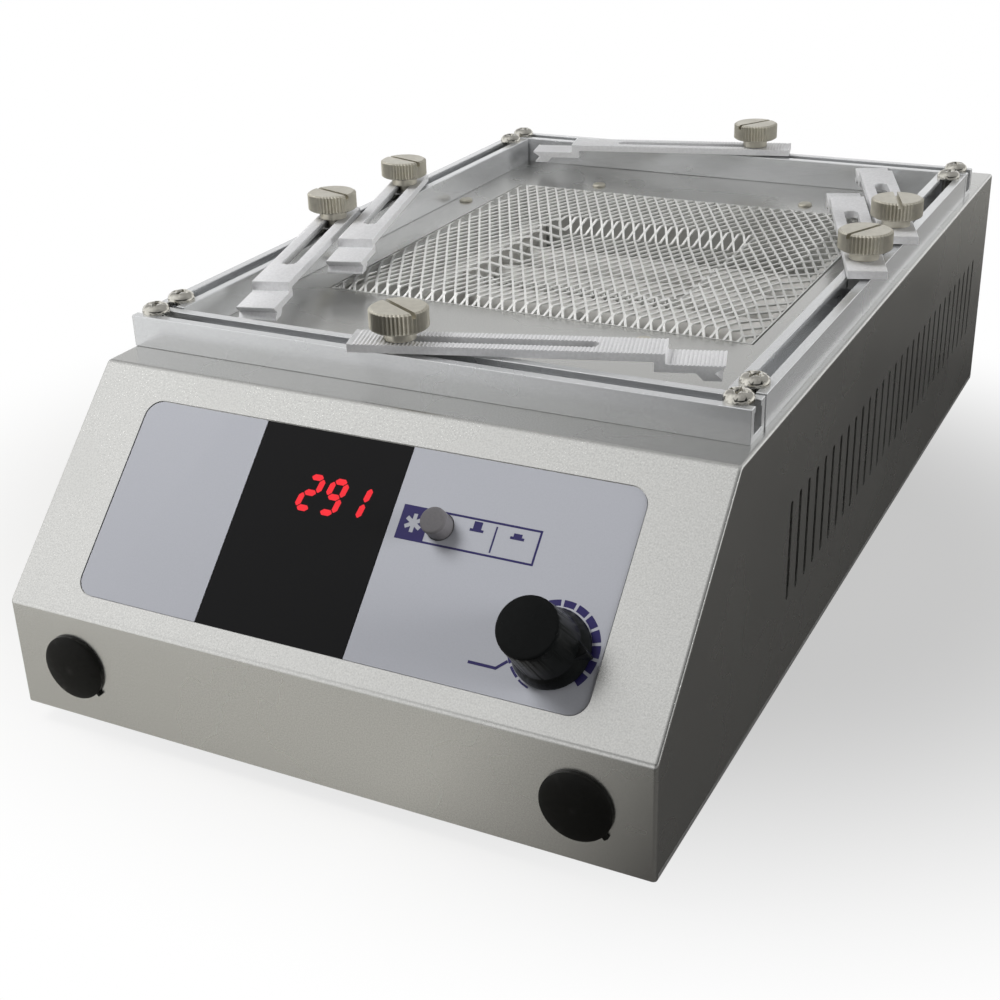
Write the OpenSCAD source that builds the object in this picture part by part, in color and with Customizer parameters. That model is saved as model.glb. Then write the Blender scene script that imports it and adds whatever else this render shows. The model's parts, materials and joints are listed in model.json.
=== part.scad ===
// Benchtop preheater for circuit boards: a sloped sheet-metal case with an infrared
// heater under a pressed expanded-metal guard, and a slotted rail frame on top whose
// six sliding, swivelling clamp arms hold the board. Millimetres, +Z up, front at -Y.

/* [Case] */
// Width of the case
case_w = 190; // [182:1:220]
// Depth of the case from the front lip to the rear edge
case_d = 350; // [340:1:400]
// Height of the case top above the lower edge of the case
case_h = 84.4; // [80:0.1:100]
// Height of the upright front lip
lip_h = 32.4; // [28:0.1:36]
// Lean of the control slope from the horizontal, in degrees
slope_angle = 45; // [43:1:50]
// Thickness of the case sheet
sheet = 1.5; // [1:0.1:2]
// Outside radius of the two bends across the front
bend_r = 3.5; // [2.5:0.5:6]
// Width of the inward flanges along the lower edge of the cover
flange_w = 12; // [9:0.5:18]
// Height of the rubber feet
foot_h = 6; // [4:0.5:12]
// Diameter of the rubber feet
foot_d = 16; // [12:1:24]
// Distance of the feet from the front and rear edges of the case
foot_inset = 30; // [16:1:60]

/* [Side vents] */
// Distance between neighbouring vent slots
vent_pitch = 8; // [6:0.5:14]
// Width of a vent slot
vent_w = 2.2; // [1.5:0.1:4]
// Height of a vent slot
vent_h = 30; // [15:1:40]
// Height of the slots' lower ends above the lower edge of the case
vent_z = 26; // [18:1:34]
// Distance of the first slot from the front lip
vent_front = 96; // [80:1:120]
// Distance of the last slot from the rear edge
vent_rear = 20; // [14:1:60]

/* [Rail frame] */
// Width of a rail
rail_w = 10.2; // [9.6:0.1:13]
// Height of a rail
rail_h = 9.4; // [9:0.1:13]
// Width of the slot along the top of a rail
rail_slot = 4.4; // [4.2:0.1:5.2]
// Thickness of the side walls of a rail
rail_wall = 2; // [1.2:0.1:2.2]
// Thickness of the lips beside the slot
rail_lip = 1.8; // [1.2:0.1:2.2]
// Thickness of the floor of a rail
rail_floor = 2; // [1:0.1:2.2]
// Case top left bare in front of the frame
front_strip = 12.4; // [6:0.1:25]
// Case top left bare behind the frame
rear_strip = 31.4; // [20:0.1:45]
// Case top left bare beside the frame, as the mean of both sides
side_strip = 1.2; // [1:0.1:6]
// How far the frame sits to the left of the middle of the case
frame_shift = 0.9; // [0:0.1:1]
// Gap between a front or rear rail and the end of a side rail
corner_gap = 1.2; // [0.4:0.1:2]
// Head diameter of the rail screws
rail_head_d = 8; // [6.5:0.1:9]
// Head height of the rail screws
rail_head_h = 2.6; // [1.5:0.1:3]
// Thread diameter of the rail screws
rail_thread = 4; // [3:0.5:4]

/* [Clamps] */
// Width of a clamp arm
arm_w = 11.6; // [10:0.1:12.4]
// Thickness of a clamp arm
arm_t = 2.5; // [2:0.1:4]
// Reach of an arm from its screw to the end of its tip
arm_reach = 87; // [80:1:90]
// Length of an arm behind its screw
arm_tail = 13.5; // [9:0.5:16]
// Length of the slot in an arm
arm_slot = 56; // [30:1:60]
// Length of the lowered tip of an arm
arm_tip = 15.5; // [12:0.5:18]
// Drop from the arm to its tip
arm_drop = 2.8; // [2:0.1:3]
// Depth of the beak below the tip
arm_beak = 2; // [1:0.1:2.2]
// Depth of the V groove that takes the edge of a board
arm_groove = 2.7; // [1.5:0.1:3.5]
// Pitch of the fine cross grooves on top of an arm
rib_pitch = 1.1; // [0.8:0.1:3]
// Depth of the fine cross grooves on top of an arm
rib_depth = 0.3; // [0.1:0.05:0.5]
// Thread diameter of the thumb screws
thumb_thread = 4; // [3:0.5:4]
// Diameter of the knurled head of a thumb screw
thumb_d = 16.4; // [12:0.1:18]
// Height of the knurled head of a thumb screw
thumb_h = 6; // [3:0.1:8]
// Diameter of the neck below the head
neck_d = 9; // [7:0.1:11]
// Height of the neck below the head
neck_h = 2.8; // [2:0.1:6]
// Width of the screwdriver slot in the head
driver_w = 1.3; // [0.8:0.1:2]
// Depth of the screwdriver slot in the head
driver_depth = 1.6; // [0.8:0.1:2.4]
// Outside diameter of the swivel washers
washer_d = 9.6; // [8:0.1:11]
// Thickness of the swivel washers
washer_t = 0.6; // [0.4:0.1:1]
// Length of the slide nuts in the rails
nut_len = 12; // [8:0.5:16]
// Thickness of the slide nuts
nut_t = 3.2; // [2:0.1:3.4]

/* [Clamp places] */
// Clearance between the front arm's tip and the right rail
front_tip_gap = 5.2; // [1:0.1:20]
// Clearance between the rear arm's tip and the left rail
rear_tip_gap = 9.2; // [1:0.1:20]
// Clearance between the left front arm's tip and the front rail
left_tip_gap = 6.7; // [1:0.1:20]
// Clearance between the right rear arm's tip and the rear rail
right_tip_gap = 1.4; // [1:0.1:20]
// Clearance between the two left arms
left_arm_gap = 2.5; // [1:0.1:8]
// Clearance between the two right arms
right_arm_gap = 1.3; // [1:0.1:8]
// Swing of the front arm away from its rail, in degrees
front_swing = 17; // [14:0.5:24]
// Swing of the rear arm away from its rail, in degrees
rear_swing = 13.5; // [12:0.5:20]
// Swing of the two left arms away from their rail, in degrees
left_swing = 16.9; // [16:0.1:20]
// Swing of the two right arms away from their rail, in degrees
right_swing = 19.5; // [18.5:0.1:22]

/* [Guard and heater] */
// Case top left bare between the side rails and the window over the heater
window_side = 12.6; // [12.6:0.1:24]
// Depth of the heater window from front to rear
window_d = 140; // [120:1:150]
// How far the window sits behind the middle of the rail frame
window_back = 10.7; // [0:0.1:14]
// Rise of the guard's middle above the case top
guard_rise = 2.6; // [1.5:0.1:4.4]
// Width of the sloped margin along the sides and the rear of the guard
guard_run = 8; // [4:0.5:14]
// Width of the sloped margin along the front of the guard
guard_front_run = 3; // [1.5:0.5:14]
// Sheet thickness of the guard
guard_t = 0.8; // [0.5:0.1:1.2]
// Width of the flange that clamps the guard under the case top
guard_flange = 13; // [11:0.5:14]
// Width of the recess pressed into the guard
recess_w = 73; // [40:1:80]
// Depth of the guard's recess from front to rear
recess_d = 73; // [40:1:80]
// How far the floor of the recess lies below the guard's middle
recess_drop = 4.5; // [3:0.1:7]
// Width of the slanted walls of the recess, seen from above
recess_run = 4.5; // [1:0.5:8]
// How far the recess sits to the right of the guard's middle
recess_x = 3.3; // [-6:0.1:6]
// Pitch of the guard's cells across the guard
cell_x = 8.1; // [7:0.1:14]
// Pitch of the guard's cells from front to rear
cell_y = 7.9; // [6:0.1:12]
// Open share of a cell's width
cell_open = 0.76; // [0.5:0.01:0.85]
// Width of the solid strip along the guard's outer bend
guard_edge = 1.2; // [0.8:0.1:3]
// Depth of the reflector tray
tray_depth = 34; // [28:1:40]
// Sheet thickness of the reflector tray
tray_t = 0.8; // [0.5:0.1:1.5]
// Diameter of a quartz heater tube
tube_d = 11; // [8:0.5:14]
// Number of quartz heater tubes
tube_count = 5; // [3:1:6]
// Diameter of the temperature probe
probe_d = 3; // [2:0.1:4]

/* [Controls] */
// Width of the label panel
label_w = 150; // [140:1:160]
// Height of the label panel along the slope
label_h = 57.7; // [50:0.1:60]
// Corner radius of the label panel
label_r = 5; // [2:0.5:8]
// How far the label sits below the middle of the slope
label_drop = 1.5; // [0:0.1:2]
// Depth of the pocket that the label lies in
label_pocket = 0.6; // [0.4:0.1:0.8]
// Thickness of the label panel
label_t = 0.4; // [0.2:0.05:0.6]
// Width of the dark display window
display_w = 45.3; // [35:0.1:50]
// Display window's middle, to the right of the middle of the case
display_x = -13; // [-20:0.5:-10]
// Width of the digit module
digits_w = 22.6; // [18:0.1:30]
// Height of the digit module
digits_h = 14.2; // [10:0.1:18]
// Digit module, to the right of the middle of the case
digits_x = -8.3; // [-12:0.1:-6]
// Digit module, above the middle of the label
digits_up = 11.4; // [6:0.1:14]
// Diameter of the push button
button_d = 7.2; // [5:0.1:9]
// Height of the push button above the slope
button_h = 5; // [3:0.1:8]
// Travel of the push button
button_travel = 2; // [1:0.1:2.6]
// Push button, to the right of the middle of the case
button_x = 23.8; // [20:0.1:32]
// Push button, above the middle of the label
button_up = 9.4; // [4:0.1:14]
// Diameter of the knob's cap
knob_d = 15.4; // [12:0.1:20]
// Diameter of the knob's skirt
knob_skirt_d = 20; // [18:0.1:22]
// Height of the knob's top above the slope
knob_h = 19; // [14:0.1:24]
// Knob, to the right of the middle of the case
knob_x = 62.5; // [56:0.1:64]
// Knob, below the middle of the label
knob_down = 14.6; // [10:0.1:16]
// Shaft diameter of the potentiometer
shaft_d = 6; // [4:0.1:6.4]
// Diameter of the hole plugs in the front lip
plug_d = 19; // [14:0.1:22]
// Distance of the hole plugs from the middle of the case
plug_x = 75; // [60:0.5:80]
// Height of the hole plugs above the lower edge of the case
plug_z = 16; // [13:0.1:18]
// Distance of the control board behind the face of the slope
board_depth = 13; // [11:0.5:16]
// Thickness of the circuit boards
board_t = 1.6; // [1:0.1:2.4]

/* [Rear panel] */
// Mains inlet, to the right of the middle of the case
inlet_x = 45; // [30:1:55]
// Power switch, to the right of the middle of the case
switch_x = -10; // [-30:1:-4]
// Height of the inlet and the switch above the lower edge of the case
rear_fit_z = 40; // [30:1:48]
// Width of the inlet's flange
inlet_w = 50; // [48:1:60]
// Height of the inlet's flange
inlet_h = 23; // [22:0.5:30]
// Width of the power switch's bezel
switch_w = 15; // [15:0.5:20]
// Height of the power switch's bezel
switch_h = 22; // [22:0.5:28]
// Tilt of the rocker either side of its middle, in degrees
rocker_tilt = 12; // [8:1:14]

/* [Fits] */
// Running clearance of a shaft or thread in its hole, on the radius
run_gap = 0.05; // [0.02:0.01:0.1]
// Gap between flat faces that slide on each other
seat_gap = 0.05; // [0.02:0.01:0.2]
// Side clearance of sliding and loose parts
side_gap = 0.2; // [0.1:0.05:0.3]
// Clearance of a screw through a plain hole, on the radius
hole_gap = 0.2; // [0.1:0.05:0.4]

/* [Hidden] */
$fn = 48;

// Far end of a cut that has to pass a face
cut = 1;

// Case levels and edges
y_front = -case_d / 2;
y_rear = case_d / 2;
z_low = foot_h;
z_bend = foot_h + lip_h;
z_top = foot_h + case_h;
z_floor = z_low + sheet;
slope_run = (case_h - lip_h) / tan(slope_angle);
slope_len = (case_h - lip_h) / sin(slope_angle);
inner_w = case_w - 2 * sheet;
vent_count = floor((case_d - vent_front - vent_rear) / vent_pitch) + 1;

// Rail frame
frame_w = case_w - 2 * side_strip;
frame_y0 = y_front + slope_run + front_strip;
frame_y1 = y_rear - rear_strip;
frame_y = (frame_y0 + frame_y1) / 2;
rail_x = frame_w / 2 - rail_w / 2;
rail_y = (frame_y1 - frame_y0) / 2 - rail_w / 2;
side_len = frame_y1 - frame_y0 - 2 * (rail_w + corner_gap);
rail_top = z_top + rail_h;
rail_inside = rail_w - 2 * rail_wall;
corner_inset = rail_w / 2;
side_inset = rail_w / 2 + 0.5;
rail_nut_t = 3.2;
rail_nut_af = 7;

// Clamp stack, upwards from the top of the rails
washer_z = rail_top + seat_gap;
arm_z = washer_z + washer_t + seat_gap;
neck_z = arm_z + arm_t + seat_gap;
thumb_top = neck_z + neck_h + thumb_h;
nut_z = rail_top - rail_lip - 2 * seat_gap - nut_t;
thumb_end = nut_z - 1;
arm_slot_w = thumb_thread + 2 * (hole_gap + 0.1);
arm_step = arm_reach - arm_tip;

// Clamp places, from the middle of the frame: each tip keeps its clearance from the rail it points at
inside_x = frame_w / 2 - rail_w;
inside_y = (frame_y1 - frame_y0) / 2 - rail_w;
front_x = inside_x - front_tip_gap - tip_reach(front_swing);
rear_x = rear_tip_gap + tip_reach(rear_swing) - inside_x;
left_front_y = left_tip_gap + tip_reach(left_swing) - inside_y;
left_rear_y = left_front_y + (arm_w + left_arm_gap) / sin(left_swing);
right_rear_y = inside_y - right_tip_gap - tip_reach(right_swing);
right_front_y = right_rear_y - (arm_w + right_arm_gap) / sin(right_swing);

// Guard and heater
window_w = frame_w - 2 * (rail_w + window_side);
window_y = frame_y + window_back;
guard_gap = 0.6;
rim_w = window_w - 2 * guard_gap;
rim_d = window_d - 2 * guard_gap;
rim_z = z_top + guard_rise;
flange_z = z_top - sheet - guard_t;
guard_screw_out = 8.7;
guard_thread = 3;
tray_z = flange_z - tray_t;
tray_w = rim_w - 4;
tray_d = rim_d - 4;
tray_floor = tray_z - tray_depth + tray_t;
holder_w = 10;
holder_h = 24;
tube_z = tray_floor + 13;
tube_pitch = (tray_d - 2 * tray_t - 10) / tube_count;
probe_z = tube_z + tube_d / 2 + 5;

// Control slope
label_up = slope_len / 2 - label_drop;
digits_along = label_up + digits_up;
button_along = label_up + button_up;
knob_along = label_up - knob_down;
sheet_back = -sheet;
board_z = -board_depth;
board_w = 106;
board_h = 44;
board_x = -10;
post_d = 6;
post_inset = 5;
pot_nut_t = 2;
pot_nut_d = 10;
pot_thread = 7;
pot_body_d = 16.4;
pot_body_t = 9;
knob_base = 0.6;
skirt_t = 4;
shaft_top = 14;
stem_d = 3;
switch_top = board_z + 5;
stem_end = switch_top - 1.5;

// Things that stand on the base plate
power_post = 8;
power_w = 96;
power_d = 70;
power_y = -10;

// How far an arm reaches along its rail when it swings away from it
function tip_reach(swing) = arm_reach * cos(swing) + arm_w / 2 * sin(swing);

// A point list with the corner b, between a and c, rounded to radius r
function bend(a, b, c, r, n = 8) =
  let (
    u = (a - b) / norm(a - b),
    v = (c - b) / norm(c - b),
    half = acos(u * v) / 2,
    mid = b + (u + v) / norm(u + v) * r / sin(half),
    p = b + u * r / tan(half) - mid,
    q = b + v * r / tan(half) - mid,
    from = atan2(p[1], p[0]),
    turn = atan2(q[1], q[0]) - from,
    arc = turn > 180 ? turn - 360 : turn < -180 ? turn + 360 : turn
  )
  [for (i = [0 : n]) mid + r * [cos(from + arc * i / n), sin(from + arc * i / n)]];

// Outline of a rectangle with round corners
function round_rect(w, h, r, n = 6) =
  [for (q = [0 : 3], i = [0 : n])
    let (a = 90 * (q + i / n), sx = q == 0 || q == 3 ? 1 : -1, sy = q < 2 ? 1 : -1)
    [sx * (w / 2 - r) + r * cos(a), sy * (h / 2 - r) + r * sin(a)]];

// Points of the case front in the Y-Z plane, set in from the outer face by t
function front_low(t) = [y_front + t, z_low];
function front_bend(t) =
  [y_front + t, z_bend + t * ((1 - sin(slope_angle)) * tan(slope_angle) - cos(slope_angle))];
function top_bend(t) = [y_front + slope_run + t * (1 - cos(slope_angle)) / sin(slope_angle), z_top - t];
function top_rear(t) = [y_rear, z_top - t];
function front_line(t, r) = concat(
  [front_low(t)],
  bend(front_low(t), front_bend(t), top_bend(t), r),
  bend(front_bend(t), top_bend(t), top_rear(t), r),
  [top_rear(t)]);
function flip(list) = [for (i = [len(list) - 1 : -1 : 0]) list[i]];

// Extrudes a Y-Z outline by w across the case
module across(w) {
  translate([-w / 2, 0, 0]) rotate([90, 0, 90]) linear_extrude(w) children();
}

// Moves to a place on the slope: Y runs up the slope and Z out of it
module on_slope(x, along) {
  translate([x, y_front + along * cos(slope_angle), z_bend + along * sin(slope_angle)])
    rotate([slope_angle, 0, 0]) children();
}

// Moves to a place on the rear face: Y runs up and Z points out to the rear
module on_rear(x, z) {
  translate([x, y_rear, z_low + z]) rotate([-90, 0, 0]) mirror([0, 1, 0]) children();
}

// A block from its lower corner to its upper corner
module block(lo, hi) {
  translate(lo) cube(hi - lo);
}

// A screw with a pan head on z = 0 and its shank downwards
module pan_screw(head_d, head_h, thread, length) {
  rotate_extrude() polygon(concat(
    [[0, -length], [thread / 2, -length], [thread / 2, 0], [head_d / 2, 0]],
    bend([head_d / 2, 0], [head_d / 2, head_h], [0, head_h], head_h * 0.8, 5),
    [[0, head_h]]));
}

// A hexagon nut on z = 0
module hex_nut(across_flats, thread, t) {
  difference() {
    cylinder(d = across_flats / cos(30), h = t, $fn = 6);
    translate([0, 0, -cut]) cylinder(d = thread, h = t + 2 * cut);
  }
}

// Places of the screws through the guard's flange, about the window
module at_guard_screws() {
  ox = window_w / 2 + guard_screw_out;
  oy = window_d / 2 + guard_screw_out;
  for (s = [-1, 1], e = [-1, 1]) {
    translate([s * window_w * 0.29, window_y + e * oy, 0]) children();
    translate([s * ox, window_y + e * window_d * 0.29, 0]) children();
  }
}

// Places of the screws at the ends of the rails
module at_rail_screws() {
  for (s = [-1, 1], e = [-1, 1]) {
    translate([-frame_shift + s * (frame_w / 2 - corner_inset), frame_y + e * rail_y, 0]) children();
    translate([-frame_shift + s * rail_x, frame_y + e * (side_len / 2 - side_inset), 0]) children();
  }
}

// Places of the screws that hold the cover down on the base plate
module at_cover_screws() {
  for (s = [-1, 1], e = [-1, 0, 1])
    translate([s * (inner_w / 2 - flange_w / 2), e * case_d * 0.38, 0]) children();
}

// Places of the screws in the foot of the rear panel
module at_panel_screws() {
  for (s = [-1, 1])
    translate([s * (inner_w / 2 - 2 * flange_w), y_rear - sheet - flange_w / 2, 0]) children();
}

// Places of the feet
module at_feet() {
  for (s = [-1, 1], e = [-1, 1])
    translate([s * (case_w / 2 - foot_d), e * (case_d / 2 - foot_inset), 0]) children();
}

// Places of the posts under the control board, on the slope
module at_board_posts() {
  for (s = [-1, 1], e = [-1, 1])
    translate([board_x + s * (board_w / 2 - post_inset), e * (board_h / 2 - post_inset), 0]) children();
}

// Places of the posts under the power board
module at_power_posts() {
  for (s = [-1, 1], e = [-1, 1])
    translate([s * (power_w / 2 - post_inset), power_y + e * (power_d / 2 - post_inset), z_floor])
      children();
}

// One row of rounded vent slots through both sides of the case
module side_vents() {
  r = vent_w / 2;
  for (i = [0 : vent_count - 1])
    translate([0, y_front + vent_front + i * vent_pitch, z_low + vent_z])
      across(case_w + 2 * cut) {
        translate([-r, r]) square([vent_w, vent_h - vent_w]);
        for (z = [r, vent_h - r]) translate([0, z]) circle(r, $fn = 16);
      }
}

// Bent sheet cover: front lip, slope, top and both sides in one
module case_cover() {
  inner_r = max(bend_r - sheet, 0.4);
  outline = front_line(0, bend_r);
  color("silver") difference() {
    union() {
      across(case_w) polygon(concat(outline, flip(front_line(sheet, inner_r))));
      for (s = [-1, 1]) {
        translate([s * (case_w - sheet) / 2, 0, 0]) intersection() {
          across(sheet) polygon(concat(outline, [[y_rear, z_low]]));
          block([-sheet, y_front - cut, z_floor], [sheet, y_rear + cut, z_top + cut]);
        }
        block([s > 0 ? inner_w / 2 - flange_w : -inner_w / 2, y_front + sheet + 2, z_floor],
          [s > 0 ? inner_w / 2 : flange_w - inner_w / 2, y_rear - sheet - side_gap, z_floor + sheet]);
      }
    }
    translate([0, window_y, z_top]) cube([window_w, window_d, 4 * sheet], center = true);
    translate([0, 0, z_top - 2 * sheet]) {
      at_guard_screws() cylinder(r = guard_thread / 2 + hole_gap, h = 3 * sheet);
      at_rail_screws() cylinder(r = rail_thread / 2 + hole_gap, h = 3 * sheet);
    }
    translate([0, 0, z_floor - cut]) at_cover_screws() cylinder(r = 1.5, h = sheet + 2 * cut);
    side_vents();
    on_slope(0, label_up) translate([0, 0, -label_pocket])
      linear_extrude(cut)
        polygon(round_rect(label_w + 2 * side_gap, label_h + 2 * side_gap, label_r + side_gap));
    on_slope(digits_x, digits_along)
      cube([digits_w + 2, digits_h + 2, 4 * sheet], center = true);
    on_slope(button_x, button_along)
      cylinder(r = button_d / 2 + side_gap, h = 4 * sheet, center = true);
    on_slope(knob_x, knob_along)
      cylinder(r = pot_thread / 2 + side_gap, h = 4 * sheet, center = true);
    for (s = [-1, 1]) translate([s * plug_x, y_front, z_low + plug_z]) rotate([90, 0, 0])
      cylinder(d = plug_d - 3, h = 4 * sheet, center = true);
  }
}

// Flat base plate with air slots under the heater
module base_plate() {
  slots = 9;
  color("lightgray") difference() {
    block([-case_w / 2, y_front + sheet, z_low], [case_w / 2, y_rear, z_floor]);
    translate([0, 0, z_low - cut]) {
      at_cover_screws() cylinder(r = 1.5 + hole_gap, h = sheet + 2 * cut);
      at_panel_screws() cylinder(r = 1.5 + hole_gap, h = sheet + 2 * cut);
      at_feet() cylinder(r = 1.5 + hole_gap, h = sheet + 2 * cut);
      for (i = [0 : slots - 1], s = [-1, 1])
        translate([s * 40 - 20, window_y + (i - (slots - 1) / 2) * 10 - 1.5, 0])
          cube([40, 3, sheet + 2 * cut]);
    }
  }
}

// Rear panel with a foot that lies on the base plate
module rear_panel() {
  half = inner_w / 2 - side_gap;
  foot_half = inner_w / 2 - flange_w - 1;
  color("silver") difference() {
    union() {
      block([-half, y_rear - sheet, z_floor], [half, y_rear, z_top - sheet - side_gap]);
      block([-foot_half, y_rear - sheet - flange_w, z_floor],
        [foot_half, y_rear - sheet, z_floor + sheet]);
    }
    on_rear(inlet_x, rear_fit_z) {
      cube([28, 20.4, 4 * sheet], center = true);
      for (s = [-1, 1]) translate([s * 20, 0, 0]) cylinder(r = 1.5, h = 4 * sheet, center = true);
    }
    on_rear(switch_x, rear_fit_z)
      cube([switch_w - 2 + 2 * side_gap, switch_h - 2 + 2 * side_gap, 4 * sheet], center = true);
    translate([0, 0, z_floor - cut]) at_panel_screws() cylinder(r = 1.5, h = sheet + 2 * cut);
  }
}

// Four rubber feet, each with a deep hole for its screw
module feet() {
  color([0.08, 0.08, 0.08]) at_feet() difference() {
    rotate_extrude() polygon([
      [0, 0], [foot_d / 2 - 1.5, 0], [foot_d / 2 - 0.6, 0.6], [foot_d / 2, foot_h], [0, foot_h]]);
    translate([0, 0, -cut]) cylinder(r = 3.2, h = foot_h / 2 + cut);
    cylinder(r = 1.5 + hole_gap, h = foot_h + cut);
  }
}

// Small pan-head screws: under the base plate, in the feet and beside the inlet
module case_screws() {
  color("gray") {
    translate([0, 0, z_low]) mirror([0, 0, 1]) {
      at_cover_screws() pan_screw(5.6, 2, 3 - 2 * run_gap, 2 * sheet + 1.5);
      at_panel_screws() pan_screw(5.6, 2, 3 - 2 * run_gap, 2 * sheet + 1.5);
    }
    translate([0, 0, foot_h / 2]) mirror([0, 0, 1])
      at_feet() pan_screw(5.6, 2, 3 - 2 * run_gap, foot_h / 2 + sheet + 1.5);
    on_rear(inlet_x, rear_fit_z) for (s = [-1, 1]) translate([s * 20, 0, 2.5])
      pan_screw(5.6, 2, 3 - 2 * run_gap, 2.5 + sheet + 1.5);
  }
}

// Two domed plugs that close the holes in the front lip
module hole_plugs() {
  r = plug_d / 2;
  dome = 2.6;
  rim = 0.9;
  shank = r - 1.5 - run_gap;
  color([0.12, 0.12, 0.11]) for (s = [-1, 1])
    translate([s * plug_x, y_front, z_low + plug_z]) rotate([90, 0, 0])
      rotate_extrude() polygon(concat(
        [[0, 0], [shank - 1.2, 0], [shank - 1.2, -sheet - 3], [shank, -sheet - 3], [shank, 0], [r, 0]],
        [for (i = [0 : 8]) [r * cos(90 * i / 8), rim + (dome - rim) * sin(90 * i / 8)]]));
}

// Printed label panel in the pocket of the slope
module label_panel() {
  color([0.68, 0.69, 0.72]) on_slope(0, label_up) translate([0, 0, -label_pocket])
    linear_extrude(label_t) difference() {
      polygon(round_rect(label_w, label_h, label_r));
      translate([display_x, 0]) square([display_w, label_h + 2 * cut], center = true);
      translate([button_x, button_up]) circle(d = button_d + 2 * side_gap);
      translate([knob_x, -knob_down]) circle(d = pot_nut_d / cos(30) + 1);
    }
}

// Dark window in front of the digits
module display_window() {
  color([0.13, 0.12, 0.13]) on_slope(display_x, label_up) translate([0, 0, -label_pocket])
    linear_extrude(label_t) square([display_w - 2 * side_gap, label_h], center = true);
}

// Three-digit light-emitting display that stands on the control board
module display_module() {
  top = -label_pocket - 0.1;
  pin = 2;
  color([0.25, 0.25, 0.25]) on_slope(digits_x, digits_along) {
    translate([-digits_w / 2, -digits_h / 2, board_z + pin])
      cube([digits_w, digits_h, top - board_z - pin]);
    for (i = [-2 : 3], s = [-1, 1]) translate([(i - 0.5) * 2.54, s * 5, board_z])
      cylinder(d = 0.8, h = pin + 0.5, $fn = 16);
  }
}

// Control board behind the slope, with its chip and connector
module control_board() {
  color([0.1, 0.35, 0.15]) on_slope(0, label_up + 4) {
    difference() {
      translate([board_x - board_w / 2, -board_h / 2, board_z - board_t])
        cube([board_w, board_h, board_t]);
      translate([0, 0, board_z - board_t - cut]) at_board_posts() cylinder(r = 1.6, h = board_t + 2 * cut);
    }
    translate([-48, -6, board_z]) cube([24, 9, 3.5]);
    translate([-30, -16, board_z - board_t - 8]) cube([20, 6, 8]);
  }
}

// Posts that carry the control board and the power board
module board_standoffs() {
  color("silver") {
    on_slope(0, label_up + 4) translate([0, 0, board_z]) at_board_posts() difference() {
      cylinder(d = post_d, h = board_depth - sheet);
      translate([0, 0, -cut]) cylinder(r = 1.25, h = 6 + cut);
    }
    at_power_posts() difference() {
      cylinder(d = post_d, h = power_post);
      translate([0, 0, power_post - 5]) cylinder(r = 1.25, h = 5 + cut);
    }
  }
}

// Knob with a tapered cap, a skirt and a raised pointer
module temperature_knob() {
  cap_r = knob_d / 2;
  skirt_r = knob_skirt_d / 2;
  foot_r = cap_r + 0.9;
  recess_r = pot_nut_d / 2 / cos(30) + 0.5;
  color([0.05, 0.05, 0.05]) on_slope(knob_x, knob_along) difference() {
    union() {
      rotate_extrude() polygon(concat(
        [[0, knob_base], [skirt_r, knob_base], [skirt_r, knob_base + 1.2]],
        [[skirt_r - 1, knob_base + skirt_t], [foot_r + 0.4, knob_base + skirt_t]],
        [[foot_r, knob_base + skirt_t + 0.8]],
        bend([foot_r, skirt_t], [cap_r, knob_h], [0, knob_h], 0.8, 4),
        [[0, knob_h]]));
      translate([0, 0, knob_base + 0.4]) linear_extrude(skirt_t + 1.6)
        polygon([[cap_r - 1, 3.4], [skirt_r + 0.8, 0.3], [skirt_r + 0.8, -0.3], [cap_r - 1, -3.4]]);
    }
    translate([0, 0, knob_base - cut]) cylinder(r = recess_r, h = pot_nut_t + cut);
    cylinder(r = shaft_d / 2 + run_gap, h = shaft_top + 0.3);
  }
}

// Potentiometer body and its threaded bush
module potentiometer() {
  bush_top = pot_nut_t - label_pocket + 0.3;
  color([0.5, 0.5, 0.5]) on_slope(knob_x, knob_along) difference() {
    union() {
      translate([0, 0, sheet_back - pot_body_t]) cylinder(d = pot_body_d, h = pot_body_t);
      translate([0, 0, sheet_back - cut]) cylinder(d = pot_thread, h = bush_top - sheet_back + cut);
      for (i = [-1 : 1]) translate([i * 5 - 0.5, -pot_body_d / 2 - 5, sheet_back - pot_body_t + 2])
        cube([1, 6, 0.6]);
    }
    translate([0, 0, sheet_back - pot_body_t + 2]) cylinder(r = shaft_d / 2 + run_gap, h = 2 * pot_body_t);
  }
}

// Shaft that the knob is pressed on
module potentiometer_shaft() {
  foot = sheet_back - pot_body_t + 2 + seat_gap;
  color("silver") on_slope(knob_x, knob_along) translate([0, 0, foot])
    cylinder(d = shaft_d, h = shaft_top - foot);
}

// Nut that clamps the potentiometer to the slope
module potentiometer_nut() {
  color("silver") on_slope(knob_x, knob_along) translate([0, 0, seat_gap - label_pocket])
    hex_nut(pot_nut_d, pot_thread + 2 * run_gap, pot_nut_t);
}

// Round push button with its stem
module push_button() {
  r = button_d / 2;
  color([0.5, 0.5, 0.49]) on_slope(button_x, button_along) rotate_extrude() polygon(concat(
    [[0, stem_end], [stem_d / 2, stem_end], [stem_d / 2, switch_top + button_travel + 0.8]],
    [[r, switch_top + button_travel + 0.8]],
    bend([r, 0], [r, button_h], [0, button_h], 0.8, 5),
    [[0, button_h]]));
}

// Switch under the push button, with the well that its stem slides in
module button_switch() {
  half = 4.2;
  color([0.15, 0.15, 0.15]) on_slope(button_x, button_along) difference() {
    translate([-half, -half, board_z]) cube([2 * half, 2 * half, switch_top - board_z]);
    translate([0, 0, stem_end - button_travel - 0.5])
      cylinder(r = stem_d / 2 + side_gap, h = board_depth);
  }
}

// Section of a rail: a channel with lips beside its top slot
module rail_section() {
  difference() {
    translate([-rail_w / 2, 0]) square([rail_w, rail_h]);
    translate([-rail_inside / 2, rail_floor]) square([rail_inside, rail_h - rail_floor - rail_lip]);
    translate([-rail_slot / 2, rail_floor]) square([rail_slot, rail_h]);
  }
}

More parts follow.
